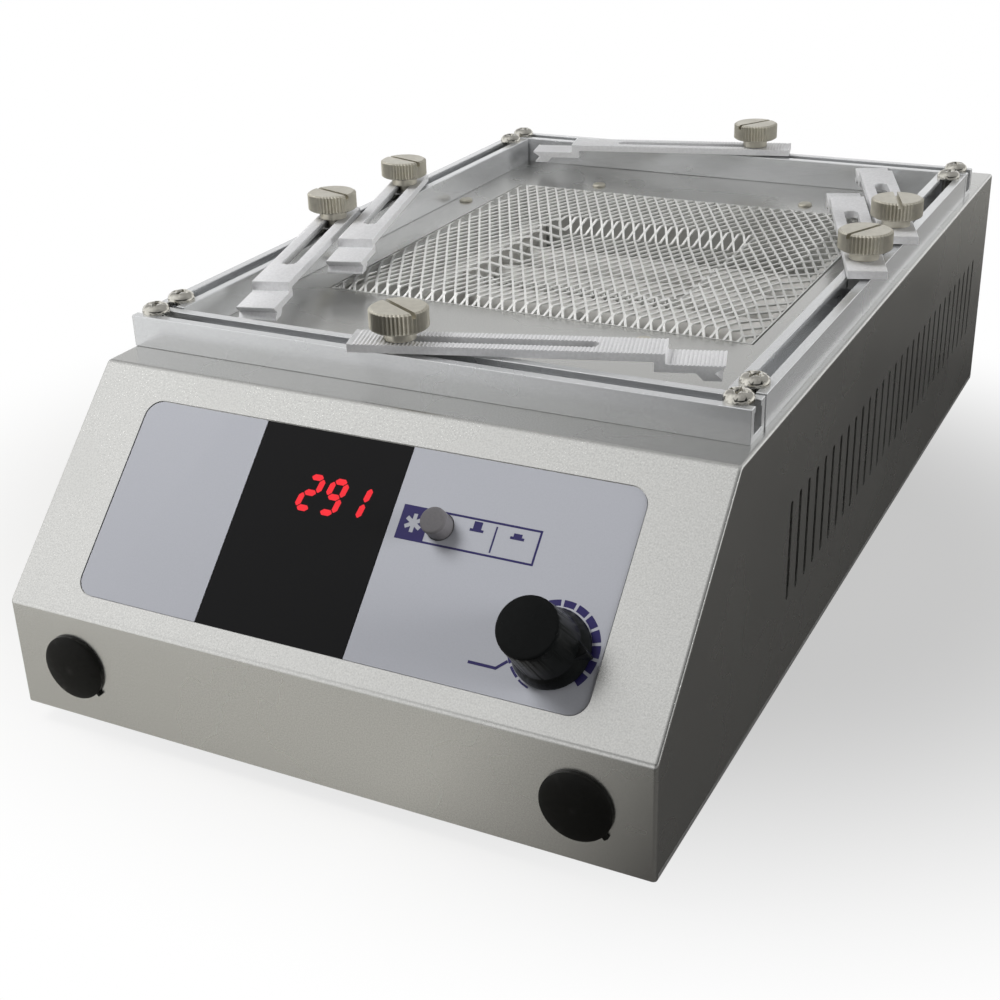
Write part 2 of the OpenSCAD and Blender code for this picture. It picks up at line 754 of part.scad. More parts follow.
// A rail along X, its foot on the case top
module rail_x_way(length) {
  translate([-length / 2, 0, 0]) rotate([90, 0, 90]) linear_extrude(length) rail_section();
}

// The frame's rails, drilled for the screws at their ends
module drilled_rail() {
  color([0.78, 0.79, 0.8]) difference() {
    children();
    translate([0, 0, z_top - cut]) at_rail_screws()
      cylinder(r = rail_thread / 2 + hole_gap, h = rail_floor + 2 * cut);
  }
}

module cross_rail(end) {
  drilled_rail() translate([-frame_shift, frame_y + end * rail_y, z_top]) rail_x_way(frame_w);
}

module side_rail(side) {
  drilled_rail() translate([-frame_shift + side * rail_x, frame_y, z_top])
    rotate([0, 0, 90]) rail_x_way(side_len);
}

module front_rail() { cross_rail(-1); }
module rear_rail() { cross_rail(1); }
module left_rail() { side_rail(-1); }
module right_rail() { side_rail(1); }

// Pan-head screws across the slots at the ends of the rails
module rail_screws() {
  color([0.72, 0.7, 0.62]) translate([0, 0, rail_top]) at_rail_screws()
    pan_screw(rail_head_d, rail_head_h, rail_thread, rail_h + sheet + rail_nut_t + 1);
}

// Nuts of the rail screws, under the case top
module rail_nuts() {
  color("silver") translate([0, 0, z_top - sheet - rail_nut_t]) at_rail_screws()
    rotate([0, 0, 30]) hex_nut(rail_nut_af, rail_thread + 2 * run_gap, rail_nut_t);
}

// Staggered diamond cells that lie inside a field
module guard_cells(w, d) {
  a = cell_x / 2 * cell_open;
  b = cell_y / 2 * cell_open;
  nx = floor((w - 2 * a) / cell_x);
  ny = floor((d - 2 * b) / cell_y);
  for (i = [-nx : nx], j = [-ny : ny])
    if ((i + j) % 2 == 0) translate([i * cell_x / 2, j * cell_y / 2])
      polygon([[a, 0], [0, b], [-a, 0], [0, -b]]);
}

// Outline across the guard: upright edges, then margins that rise to its middle
function guard_line(half, run_a, run_b, low, inset, drop) = [
  [inset - half, low], [half - inset, low],
  [half - inset, z_top + inset * guard_rise / run_b - drop], [half - run_b, rim_z - drop],
  [run_a - half, rim_z - drop], [inset - half, z_top + inset * guard_rise / run_a - drop]];

// Outline across the recess: floor, slanted walls and an upright part above them
function recess_line(half, drop, up) = [
  [recess_run - half, rim_z - recess_drop - drop], [half - recess_run, rim_z - recess_drop - drop],
  [half, rim_z - drop], [half, rim_z - drop + up], [-half, rim_z - drop + up], [-half, rim_z - drop]];

// What two outlines share, one drawn across X and one drawn across Y
module crossed(x_line, y_line, w, d) {
  intersection() {
    rotate([90, 0, 0]) linear_extrude(d, center = true) polygon(x_line);
    rotate([90, 0, 90]) linear_extrude(w, center = true) polygon(y_line);
  }
}

// Everything below the guard's sheet, set in and lowered from its top face
module guard_body(low, inset, drop) {
  crossed(guard_line(rim_w / 2, guard_run, guard_run, low, inset, drop),
    guard_line(rim_d / 2, guard_front_run, guard_run, low, inset, drop), rim_w, rim_d);
}

// Space of the recess, lowered from the guard's top face
module recess_body(drop, up) {
  translate([recess_x, -window_back, 0])
    crossed(recess_line(recess_w / 2, drop, up), recess_line(recess_d / 2, drop, up), recess_w, recess_d);
}

// Expanded-metal guard: sloped margins, a pressed recess and a hidden flange
module mesh_guard() {
  edge = guard_t + guard_edge;
  color([0.75, 0.75, 0.74]) translate([0, window_y, 0]) {
    difference() {
      union() {
        guard_body(flange_z, 0, 0);
        recess_body(guard_t, guard_t);
      }
      difference() {
        guard_body(flange_z - cut, guard_t, guard_t);
        recess_body(guard_t, guard_t);
      }
      recess_body(0, cut);
      translate([0, 0, rim_z - recess_drop - guard_t - cut])
        linear_extrude(recess_drop + guard_t + 2 * cut) guard_cells(rim_w - 2 * edge, rim_d - 2 * edge);
    }
    translate([0, 0, flange_z]) linear_extrude(guard_t) difference() {
      square([window_w + 2 * guard_flange, window_d + 2 * guard_flange], center = true);
      square([rim_w - guard_t, rim_d - guard_t], center = true);
      translate([0, -window_y]) at_guard_screws() circle(r = guard_thread / 2 + hole_gap);
    }
  }
}

// Low-head screws that hold the guard and the tray under the case top
module guard_screws() {
  color([0.6, 0.58, 0.5]) translate([0, 0, z_top]) at_guard_screws()
    pan_screw(5, 1, guard_thread - 2 * run_gap, sheet + guard_t + tray_t + 3);
}

// Reflector tray hung from the guard's flange
module reflector_tray() {
  color([0.82, 0.82, 0.8]) translate([0, window_y, 0]) difference() {
    union() {
      block([-tray_w / 2, -tray_d / 2, tray_floor - tray_t], [tray_w / 2, tray_d / 2, tray_z]);
      block([-window_w / 2 - guard_flange, -window_d / 2 - guard_flange, tray_z],
        [window_w / 2 + guard_flange, window_d / 2 + guard_flange, flange_z]);
    }
    block([tray_t - tray_w / 2, tray_t - tray_d / 2, tray_floor],
      [tray_w / 2 - tray_t, tray_d / 2 - tray_t, flange_z + cut]);
    translate([0, -window_y, tray_z - cut]) at_guard_screws()
      cylinder(r = guard_thread / 2, h = tray_t + 2 * cut);
    translate([0, -tray_d / 2, probe_z]) rotate([90, 0, 0])
      cylinder(r = probe_d / 2 + run_gap, h = 4 * tray_t, center = true);
  }
}

// Where each heater tube lies, from front to rear
module at_tubes() {
  for (i = [0 : tube_count - 1])
    translate([0, window_y + (i - (tube_count - 1) / 2) * tube_pitch, tube_z])
      rotate([0, 90, 0]) children();
}

// Quartz heater tubes across the tray
module heater_tubes() {
  color([0.85, 0.83, 0.78, 0.8]) at_tubes() difference() {
    cylinder(d = tube_d, h = tray_w - 2 * tray_t - 2, center = true);
    cylinder(d = tube_d - 2.4, h = tray_w, center = true);
  }
}

// Ceramic bars that carry the ends of the tubes
module tube_holders() {
  length = tray_d - 2 * tray_t - 4;
  inside = tray_w / 2 - tray_t - side_gap;
  color([0.9, 0.88, 0.82]) difference() {
    for (s = [-1, 1])
      block([s > 0 ? inside - holder_w : -inside, window_y - length / 2, tray_floor],
        [s > 0 ? inside : holder_w - inside, window_y + length / 2, tray_floor + holder_h]);
    at_tubes() cylinder(r = tube_d / 2 + run_gap, h = tray_w, center = true);
  }
}

// Sheathed probe through the front wall of the tray
module temperature_probe() {
  length = 44;
  color("silver") translate([0, window_y - tray_d / 2 - 8, probe_z]) rotate([-90, 0, 0]) {
    cylinder(d = probe_d, h = length);
    cylinder(d = probe_d + 3, h = 7.5);
  }
}

// Power board on its posts, with its driver, relay and terminal block
module power_board() {
  z = z_floor + power_post;
  color([0.12, 0.38, 0.18]) {
    difference() {
      block([-power_w / 2, power_y - power_d / 2, z], [power_w / 2, power_y + power_d / 2, z + board_t]);
      translate([0, 0, power_post - cut]) at_power_posts() cylinder(r = 1.6, h = board_t + 2 * cut);
    }
    block([-35, power_y - 20, z + board_t], [-16, power_y - 4, z + board_t + 15]);
    block([-5, power_y + 15, z + board_t], [35, power_y + 27, z + board_t + 12]);
    translate([15, power_y - 12, z + board_t]) cylinder(d = 12, h = 18);
    block([40, power_y - 6, z + board_t], [44.6, power_y + 4, z + board_t + 15]);
  }
}

// Laminated mains transformer on the base plate
module transformer() {
  w = 52;
  d = 34;
  h = 42;
  ear = 9;
  x = flange_w + 1 + ear + (w - inner_w) / 2;
  y = y_rear - 58;
  color([0.35, 0.33, 0.32]) translate([x, y, z_floor]) {
    block([-w / 2, -d / 4, 0], [w / 2, d / 4, h]);
    block([-w / 3, -d / 2, 7], [w / 3, d / 2, h - 7]);
    block([-w / 2 - ear, -d / 4, 0], [w / 2 + ear, d / 4, 2]);
  }
}

// Finned heat sink beside the power board
module heat_sink() {
  fins = 6;
  h = 30;
  x = power_w / 2 + 4;
  color([0.3, 0.3, 0.31]) translate([x, power_y - power_d / 2, z_floor]) {
    cube([3, power_d, h]);
    for (i = [0 : fins - 1]) translate([2, i * (power_d - 1.6) / (fins - 1), 0]) cube([16, 1.6, h]);
  }
}

// Mains inlet: flange, body and three blades in a socket
module mains_inlet() {
  cavity_w = 24;
  cavity_h = 16;
  depth = 15;
  color([0.08, 0.08, 0.08]) on_rear(inlet_x, rear_fit_z) {
    difference() {
      union() {
        linear_extrude(2.5) polygon(round_rect(inlet_w, inlet_h, 4));
        translate([-13.8, -10, -20]) cube([27.6, 20, 20.5]);
      }
      translate([-cavity_w / 2, -cavity_h / 2, 2.5 - depth]) cube([cavity_w, cavity_h, depth + cut]);
      for (s = [-1, 1]) translate([s * 20, 0, -cut]) cylinder(r = 1.5 + hole_gap, h = 2.5 + 2 * cut);
    }
    for (p = [[-7, -2.5], [0, 3], [7, -2.5]])
      translate([p[0] - 1, p[1] - 2, 2 - depth]) cube([2, 4, depth - 4]);
  }
}

// Housing of the power switch
module power_switch() {
  color([0.1, 0.1, 0.1]) on_rear(switch_x, rear_fit_z) difference() {
    union() {
      linear_extrude(2) polygon(round_rect(switch_w, switch_h, 1.5));
      translate([1 - switch_w / 2, 1 - switch_h / 2, -15]) cube([switch_w - 2, switch_h - 2, 15.5]);
    }
    translate([2 - switch_w / 2, 1.9 - switch_h / 2, -8]) cube([switch_w - 4, switch_h - 3.8, 12]);
    translate([0, 0, 0.5]) rotate([0, 90, 0])
      cylinder(r = 1 + run_gap, h = switch_w - 2 - 1.2, center = true);
  }
}

// Rocker, tipped to one side, on its two side pins
module power_rocker() {
  half = switch_h / 2 - 3.2;
  w = switch_w - 4 - 2 * (side_gap + 0.1);
  color([0.12, 0.12, 0.12]) on_rear(switch_x, rear_fit_z) translate([0, 0, 0.5])
    rotate([rocker_tilt, 0, 0]) {
    across(w) polygon([[-half, 3.6], [0, 2.2], [half, 3.6], [half - 1.2, -3.5], [1.2 - half, -3.5]]);
    rotate([0, 90, 0]) cylinder(r = 1, h = switch_w - 2 - 1.4, center = true, $fn = 24);
  }
}

// A clamp's place: its screw axis, the way its arm points, the way its rail runs and its screw's turn
function clamp_at(name) =
  name == "front" ? [front_x, -rail_y, front_swing, 0, -30] :
  name == "rear" ? [rear_x, rail_y, 180 + rear_swing, 0, 60] :
  name == "left_front" ? [-rail_x, left_front_y, left_swing - 90, 90, -19] :
  name == "left_rear" ? [-rail_x, left_rear_y, left_swing - 90, 90, -19] :
  name == "right_front" ? [rail_x, right_front_y, 90 + right_swing, 90, 65] :
  [rail_x, right_rear_y, 90 + right_swing, 90, 110];

// Moves to a clamp's screw axis, with +X along its arm, its rail or the slot of its screw
module at_clamp(name, way) {
  place = clamp_at(name);
  turn = way == "arm" ? place[2] : way == "rail" ? place[3] : place[4];
  translate([place[0] - frame_shift, place[1] + frame_y, 0]) rotate([0, 0, turn]) children();
}

// Slide nut that runs in the rail below its lips
module slide_nut(name) {
  w = rail_inside - 2 * side_gap;
  color([0.6, 0.6, 0.58]) at_clamp(name, "rail") difference() {
    block([-nut_len / 2, -w / 2, nut_z], [nut_len / 2, w / 2, nut_z + nut_t]);
    translate([0, 0, nut_z - cut]) cylinder(r = thumb_thread / 2 + run_gap, h = nut_t + 2 * cut);
  }
}

// Thin washer between the rail and the arm
module swivel_washer(name) {
  color([0.7, 0.7, 0.68]) at_clamp(name, "arm") translate([0, 0, washer_z]) difference() {
    cylinder(d = washer_d, h = washer_t);
    translate([0, 0, -cut]) cylinder(r = thumb_thread / 2 + run_gap, h = washer_t + 2 * cut);
  }
}

// Tops of the fine cross grooves from one place on the arm back to another
function ribs(from, to, top) =
  let (count = floor((from - to - 0.6) / rib_pitch))
  [for (i = [0 : count - 1], k = [0, 1])
    [from - 0.4 - (i + k / 2) * rib_pitch, top - k * rib_depth]];

// Side view of an arm: grooved bar, step, grooved tip, V groove and beak
function arm_outline() =
  let (
    low = -arm_drop,
    tip_top = arm_t - arm_drop - 0.1,
    chin = low - arm_beak,
    end = arm_reach,
    step = arm_step,
    under = arm_step - 3
  )
  concat(
    [[-arm_tail, 0], [under, 0], [under, low], [end - 7.6, low], [end - 5.6, chin], [end - 0.8, chin]],
    [[end - 0.8, chin + 0.5], [end - arm_groove, (tip_top + chin) / 2 - 0.1]],
    [[end, tip_top - 0.5], [end, tip_top]],
    ribs(end, step + 0.4, tip_top),
    [[step, tip_top], [step, arm_t]],
    ribs(step, -arm_tail, arm_t),
    [[-arm_tail, arm_t]]);

// Clamp arm with a long slot for its screw
module clamp_arm(name) {
  r = arm_slot_w / 2;
  color([0.8, 0.8, 0.81]) at_clamp(name, "arm") translate([0, 0, arm_z]) difference() {
    translate([0, arm_w / 2, 0]) rotate([90, 0, 0]) linear_extrude(arm_w) polygon(arm_outline());
    translate([0, 0, -cut]) linear_extrude(arm_t + 2 * cut) {
      translate([0, -r]) square([arm_slot - 2 * r, 2 * r]);
      for (s = [0, arm_slot - 2 * r]) translate([s, 0]) circle(r);
    }
  }
}

// Knurled thumb screw with a neck and a screwdriver slot
module thumb_screw(name) {
  r = thumb_d / 2;
  head_z = neck_z + neck_h;
  edge = 0.5;
  color([0.66, 0.64, 0.56]) at_clamp(name, "slot") difference() {
    rotate_extrude() polygon([
      [0, thumb_end], [thumb_thread / 2, thumb_end], [thumb_thread / 2, neck_z], [neck_d / 2, neck_z],
      [neck_d / 2, head_z], [r - edge, head_z], [r, head_z + edge], [r, thumb_top - edge],
      [r - edge, thumb_top], [0, thumb_top]]);
    translate([0, 0, thumb_top]) cube([thumb_d + 2 * cut, driver_w, 2 * driver_depth], center = true);
  }
}

case_cover();
base_plate();
rear_panel();
feet();
case_screws();
hole_plugs();
label_panel();
display_window();
display_module();
control_board();
board_standoffs();
temperature_knob();
potentiometer();
potentiometer_shaft();
potentiometer_nut();
push_button();
button_switch();
front_rail();
rear_rail();
left_rail();
right_rail();
rail_screws();
rail_nuts();
mesh_guard();
guard_screws();
reflector_tray();
heater_tubes();
tube_holders();
temperature_probe();
power_board();
transformer();
heat_sink();
mains_inlet();
power_switch();
power_rocker();
for (name = ["front", "rear", "left_front", "left_rear", "right_front", "right_rear"]) {
  slide_nut(name);
  swivel_washer(name);
  clamp_arm(name);
  thumb_screw(name);
}
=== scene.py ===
import json
import math

import bpy
from mathutils import Matrix, Vector

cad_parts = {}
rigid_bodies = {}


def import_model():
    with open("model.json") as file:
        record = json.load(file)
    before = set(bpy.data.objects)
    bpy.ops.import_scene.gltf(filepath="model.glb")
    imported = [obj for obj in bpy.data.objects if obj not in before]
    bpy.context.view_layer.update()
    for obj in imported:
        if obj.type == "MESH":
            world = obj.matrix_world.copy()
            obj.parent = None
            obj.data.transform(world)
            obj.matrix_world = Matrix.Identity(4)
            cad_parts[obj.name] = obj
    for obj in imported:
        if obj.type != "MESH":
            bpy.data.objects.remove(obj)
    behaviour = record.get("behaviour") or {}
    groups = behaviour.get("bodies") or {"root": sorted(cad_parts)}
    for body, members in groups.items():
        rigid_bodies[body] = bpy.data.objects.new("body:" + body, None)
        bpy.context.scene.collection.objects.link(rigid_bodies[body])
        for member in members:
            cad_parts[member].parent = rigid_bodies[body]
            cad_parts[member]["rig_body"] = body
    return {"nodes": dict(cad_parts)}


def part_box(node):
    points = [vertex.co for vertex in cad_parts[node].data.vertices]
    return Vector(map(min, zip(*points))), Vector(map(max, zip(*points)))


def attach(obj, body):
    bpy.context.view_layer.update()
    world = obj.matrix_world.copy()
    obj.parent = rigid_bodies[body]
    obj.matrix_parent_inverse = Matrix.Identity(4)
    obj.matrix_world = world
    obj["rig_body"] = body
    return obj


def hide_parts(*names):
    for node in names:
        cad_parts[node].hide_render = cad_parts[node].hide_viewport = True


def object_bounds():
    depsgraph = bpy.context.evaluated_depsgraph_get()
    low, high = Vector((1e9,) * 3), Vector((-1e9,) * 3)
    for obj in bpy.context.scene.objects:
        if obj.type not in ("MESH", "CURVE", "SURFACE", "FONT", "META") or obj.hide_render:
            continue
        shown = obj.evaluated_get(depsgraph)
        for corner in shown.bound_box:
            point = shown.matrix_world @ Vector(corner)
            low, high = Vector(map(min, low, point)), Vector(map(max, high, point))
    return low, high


bl_info = {
    "name": "Circuit Board Preheater",
    "version": (1, 0, 0),
    "blender": (4, 5, 0),
    "location": "View3D > Sidebar > Preheater",
    "description": "Dresses a bench preheater with its finishes, guard mesh, clamps and stage",
    "category": "Add Mesh",
}

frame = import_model()
CAD_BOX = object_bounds()
NODES = frame["nodes"]
MM = 0.001
TINY = 0.01 * MM


def length(name, description, millimetres):
    """A length property that is given in millimetres and kept in metres."""
    return bpy.props.FloatProperty(
        name=name, description=description, default=millimetres * MM, subtype="DISTANCE", unit="LENGTH"
    )


def angle(name, description, degrees):
    """An angle property that is given in degrees."""
    return bpy.props.FloatProperty(
        name=name, description=description, default=math.radians(degrees), subtype="ANGLE", unit="ROTATION"
    )


def colour(name, description, value):
    """A colour property in linear red, green and blue."""
    return bpy.props.FloatVectorProperty(
        name=name, description=description, default=value, size=3, min=0.0, max=1.0, subtype="COLOR"
    )


class PreheaterSizes(bpy.types.PropertyGroup):
    """Sizes that the solids don't hold, or that the dressing needs."""

    slope_angle: angle("Slope angle", "Lean of the control slope from the horizontal", 45)
    sheet: length("Sheet", "Sheet thickness of the case", 1.5)
    bend_r: length("Bend", "Radius of the bends across the case", 2.2)
    vent_w: length("Vent", "Width of a vent slot", 2.2)
    vent_h: length("Vent height", "Height of a vent slot", 30)
    vent_z: length("Vent foot", "Foot of the vents above the base of the case", 26)
    vent_front: length("First vent", "First vent, behind the front of the case", 96)
    vent_rear: length("Last vent", "Least distance of the last vent from the rear", 20)
    vent_pitch: length("Vent pitch", "Distance from vent to vent", 8)
    label_w: length("Label width", "Width of the label", 150)
    label_h: length("Label height", "Height of the label along the slope", 57.7)
    label_t: length("Label film", "Thickness of the label film", 0.4)
    label_pocket: length("Label pocket", "Depth of the pocket that holds the label", 0.6)
    pocket_gap: length("Pocket gap", "How much wider than the label its pocket is", 0.4)
    pocket_r: length("Pocket corner", "Corner radius of the label's pocket", 5.2)
    pane_w: length("Pane width", "Width of the opening behind the digits", 24)
    pane_h: length("Pane height", "Height of the opening behind the digits", 16)
    control_d: length("Control hole", "Diameter of the holes for the button and the knob", 7.8)
    plug_rim: length("Plug rim", "How far a plug reaches over the edge of its hole", 1.5)
    case_edge: length("Case edge", "Rounding of the case's folded side edges", 1.0)
    fine_edge: length("Fine edge", "Rounding of the rails, the knob and the feet", 0.25)
    fitting_edge: length("Fitting edge", "Rounding of the rear fittings and the tray", 0.2)
    holder_edge: length("Holder edge", "Rounding of the tube holders", 0.4)
    small_edge: length("Small edge", "Rounding of the clamp arms and the push button", 0.12)
    screw_edge: length("Screw edge", "Rounding of small screws", 0.1)
    film_edge: length("Film edge", "Rounding of the label and the display window", 0.06)
    cell_x: length("Cell width", "Pitch of the guard's cells across the guard", 4.06)
    cell_y: length("Cell depth", "Pitch of the guard's cells from front to rear", 7.9)
    strand: length("Strand", "Width of the guard's strands", 0.7)
    guard_t: length("Guard thickness", "Sheet thickness of the guard", 0.6)
    guard_gap: length("Guard gap", "Gap between the guard and the edge of its window", 0.6)
    guard_rise: length("Guard rise", "Rise of the guard's middle above the case top", 2.6)
    guard_run: length("Guard margin", "Width of the guard's sloped margins at its sides and rear", 8)
    guard_front_run: length("Guard front margin", "Width of the guard's sloped front margin", 3)
    recess_w: length("Recess width", "Width of the guard's recess", 73)
    recess_d: length("Recess depth", "Recess size from front to rear", 73)
    recess_drop: length("Recess drop", "How far the recess lies below the guard's middle", 4.5)
    recess_run: length("Recess walls", "Width of the slanted walls of the recess", 4.5)
    recess_front: length("Recess front", "How far the recess sits in front of the guard's middle", 10.7)
    recess_right: length("Recess right", "How far the recess sits to the right of the guard's middle", 3.3)
    flange_w: length("Guard flange", "Width of the guard's hidden flange", 13)
    knurl_depth: length("Knurl depth", "Depth of the knurl on the thumb screws", 0.55)
    thumb_h: length("Thumb head", "Height of a thumb screw's head", 6)
    neck_d: length("Neck", "Diameter of the neck under a thumb screw's head", 9)
    neck_h: length("Neck height", "Height of the neck under a thumb screw's head", 2.8)
    driver_w: length("Driver slot", "Width of the slot in a thumb screw's head", 1.3)
    driver_depth: length("Driver slot depth", "Depth of the slot in a thumb screw's head", 1.6)
    ink_t: length("Ink", "Thickness of the printed ink", 0.03)
    button_x: length("Button", "Push button, right of the label's middle", 23.8)
    button_up: length("Button height", "Push button, above the label's middle", 9.4)
    knob_x: length("Knob", "Knob, right of the label's middle", 62.5)
    knob_up: length("Knob height", "Knob, above the label's middle", -14.6)
    digits_x: length("Digits", "Middle of the digits, right of the label's middle", -8.3)
    digits_up: length("Digits height", "Middle of the digits, above the label's middle", 11.4)
    digit_h: length("Digit", "Height of a digit", 8.8)
    floor_half: length("Floor", "Half the side of the floor", 1200)
    floor_front: length("Floor front", "How far the floor reaches in front of the case", 70)


class PreheaterColours(bpy.types.PropertyGroup):
    """Colours of the finishes."""

    paint: colour("Paint", "Silver case paint", (0.72, 0.72, 0.70))
    rail: colour("Rails", "Anodised rails", (0.80, 0.81, 0.82))
    arm: colour("Arms", "Bright clamp arms", (0.83, 0.83, 0.84))
    nickel: colour("Nickel", "Plated screws", (0.64, 0.61, 0.52))
    mesh: colour("Guard", "Expanded metal", (0.78, 0.78, 0.76))
    label: colour("Label", "Label film", (0.44, 0.45, 0.49))
    ink: colour("Ink", "Printed ink", (0.020, 0.015, 0.090))
    glow: colour("Digits", "Lit display segments", (1.0, 0.010, 0.025))
    knob: colour("Knob", "Black knob", (0.004, 0.0045, 0.0045))
    plug: colour("Plugs", "Black hole plugs", (0.008, 0.008, 0.007))
    button: colour("Button", "Grey push button", (0.125, 0.12, 0.125))


def sizes():
    """The scene's size settings."""
    return bpy.context.scene.preheater_sizes


def colours():
    """The scene's colour settings."""
    return bpy.context.scene.preheater_colours


# Selection and editing

def deselect():
    """Goes to object mode with nothing selected."""
    if bpy.context.object and bpy.context.object.mode != "OBJECT":
        bpy.ops.object.mode_set(mode="OBJECT")
    bpy.ops.object.select_all(action="DESELECT")


def activate(piece):
    """Makes one piece the only selected and active one."""
    deselect()
    piece.select_set(True)
    bpy.context.view_layer.objects.active = piece
    return piece


def edit(piece):
    """Opens a piece in edit mode with all of it selected."""
    activate(piece)
    bpy.ops.object.mode_set(mode="EDIT")
    bpy.ops.mesh.select_all(action="SELECT")


def done():
    """Goes back to object mode."""
    bpy.ops.object.mode_set(mode="OBJECT")


def select_where(piece, kind, test):
    """Opens a piece in edit mode with the vertices, edges or faces selected that pass a test.

    The test gets a vertex's place, the places of an edge's two ends, or a face's middle and normal.
    """
    edit(piece)
    bpy.ops.mesh.select_mode(type=kind)
    bpy.ops.mesh.select_all(action="DESELECT")
    done()
    mesh = piece.data
    if kind == "VERT":
        for vertex in mesh.vertices:
            vertex.select = test(vertex.co)
    elif kind == "EDGE":
        for line in mesh.edges:
            line.select = test(*(mesh.vertices[i].co for i in line.vertices))
    else:
        for face in mesh.polygons:
            face.select = test(face.center, face.normal)
    bpy.ops.object.mode_set(mode="EDIT")


def modify(piece, kind, **settings):
    """Adds a modifier with these settings and applies it."""
    activate(piece)
    modifier = piece.modifiers.new(kind.lower(), kind)
    for key, value in settings.items():
        setattr(modifier, key, value)
    bpy.ops.object.modifier_apply(modifier=modifier.name)
    return piece


def smooth(piece, degrees=35):
    """Shades a piece smooth except at sharp edges."""
    activate(piece)
    bpy.ops.object.shade_smooth_by_angle(angle=math.radians(degrees))
    return piece


def settle(piece):
    """Puts a piece's place, turn and size into its mesh."""
    activate(piece)
    bpy.ops.object.transform_apply(location=True, rotation=True, scale=True)
    return piece


def join(pieces, name):
    """Joins pieces into one of that name."""
    deselect()
    for piece in pieces:
        piece.select_set(True)
    bpy.context.view_layer.objects.active = pieces[0]
    bpy.ops.object.join()
    pieces[0].name = name
    return pieces[0]


def copy_piece(piece, name):
    """A copy of a piece with its own mesh."""
    twin = bpy.data.objects.new(name, piece.data.copy())
    bpy.context.scene.collection.objects.link(twin)
    return twin


def remove(piece):
    """Deletes a helper piece."""
    bpy.data.objects.remove(piece, do_unlink=True)


def outwards(piece):
    """Merges doubles and turns all faces outwards."""
    edit(piece)
    bpy.ops.mesh.remove_doubles(threshold=0.002 * MM)
    bpy.ops.mesh.normals_make_consistent(inside=False)
    done()
    return piece


def slice_at(piece, point, normal, **settings):
    """Cuts a piece's mesh along a plane; the settings say what is cleared and filled."""
    edit(piece)
    bpy.ops.mesh.bisect(plane_co=point, plane_no=normal, **settings)
    done()
    return piece


def block(lo, hi, name="block"):
    """A box between two corners, as a start for other shapes."""
    lo, hi = Vector(lo), Vector(hi)
    deselect()
    bpy.ops.mesh.primitive_cube_add(size=1.0, location=(lo + hi) / 2)
    piece = bpy.context.object
    piece.scale = hi - lo
    piece.name = name
    return settle(piece)


def drum(radius, depth, vertices=48, **place):
    """A cylinder, as a start for other shapes."""
    deselect()
    bpy.ops.mesh.primitive_cylinder_add(vertices=vertices, radius=radius, depth=depth, **place)
    return settle(bpy.context.object)


def fold(piece, test, width, segments):
    """Rounds the edges of a piece whose two ends pass a test."""
    select_where(piece, "EDGE", test)
    bpy.ops.mesh.bevel(offset=width, segments=segments, affect="EDGES", clamp_overlap=False)
    done()
    return piece


def rounded_slab(w, h, z0, z1, r):
    """A block whose upright edges are rounded."""
    piece = block((-w / 2, -h / 2, z0), (w / 2, h / 2, z1))
    return fold(piece, lambda a, b: abs(a.z - b.z) > abs(a.x - b.x) + abs(a.y - b.y), r, 8)


def carve(piece, cutter):
    """Cuts a closed cutter out of a piece and deletes the cutter."""
    modify(piece, "BOOLEAN", operation="DIFFERENCE", object=cutter, solver="EXACT")
    remove(cutter)
    return piece


def cad_copy(node, name):
    """A merged copy of a solid's mesh, with its flat faces made whole."""
    piece = bpy.data.objects.new(name, NODES[node].data.copy())
    bpy.context.scene.collection.objects.link(piece)
    piece.data.materials.clear()
    edit(piece)
    bpy.ops.mesh.remove_doubles(threshold=0.001 * MM)
    bpy.ops.mesh.dissolve_limited(angle_limit=math.radians(0.5))
    done()
    return piece


def round_edges(piece, width):
    """Rounds the sharp edges of a piece, so that they catch the light."""
    smooth(piece)
    edit(piece)
    bpy.ops.mesh.select_mode(type="EDGE")
    bpy.ops.mesh.select_all(action="DESELECT")
    bpy.ops.mesh.edges_select_sharp(sharpness=math.radians(28))
    bpy.ops.mesh.bevel(offset=width, segments=2, affect="EDGES", clamp_overlap=False, harden_normals=True)
    done()
    return piece


def level_shading(piece):
    """Keeps the shading of large flat faces level up to their rounded edges."""
    return modify(piece, "WEIGHTED_NORMAL", mode="FACE_AREA", weight=100, keep_sharp=True)


def finish_with(piece, material):
    """Gives a piece this one material."""
    piece.data.materials.clear()
    piece.data.materials.append(material)


def ride_with(piece, body, material):
    """Lets a piece ride with a body, in this material."""
    finish_with(piece, material)
    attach(piece, body)


def stand_for(piece, node, material):
    """Lets a piece ride with a solid's body in that solid's place, in this material."""
    ride_with(piece, NODES[node]["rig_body"], material)
    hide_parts(node)


def dress(node, material):
    """Gives a solid that is shown as it is its material."""
    finish_with(NODES[node], material)


def softened(node, material, width, flat=False):
    """Shows a solid with rounded edges, in this material; a flat one keeps its shading level."""
    piece = round_edges(cad_copy(node, node + "_piece"), width)
    if flat:
        level_shading(piece)
    stand_for(piece, node, material)


# Places

def middle(node):
    """The middle of a solid's box."""
    lo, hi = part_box(node)
    return (lo + hi) / 2


def slope_normal():
    """The way the control slope faces."""
    tilt = sizes().slope_angle
    return Vector((0, -math.sin(tilt), math.cos(tilt)))


def slope_point():
    """A point on the control slope's surface, over the middle of the label."""
    return middle("label_panel") + slope_normal() * (sizes().label_pocket - sizes().label_t / 2)


def on_label(piece, x, up, out):
    """Moves a piece made flat at the origin to a place on the label, from the label's middle."""
    tilt = sizes().slope_angle
    uphill = Vector((0, math.cos(tilt), math.sin(tilt)))
    piece.rotation_euler = (tilt, 0, 0)
    piece.location = middle("label_panel") + Vector((x, 0, 0)) + uphill * up + slope_normal() * out
    return settle(piece)


# Shader nodes and shared effects

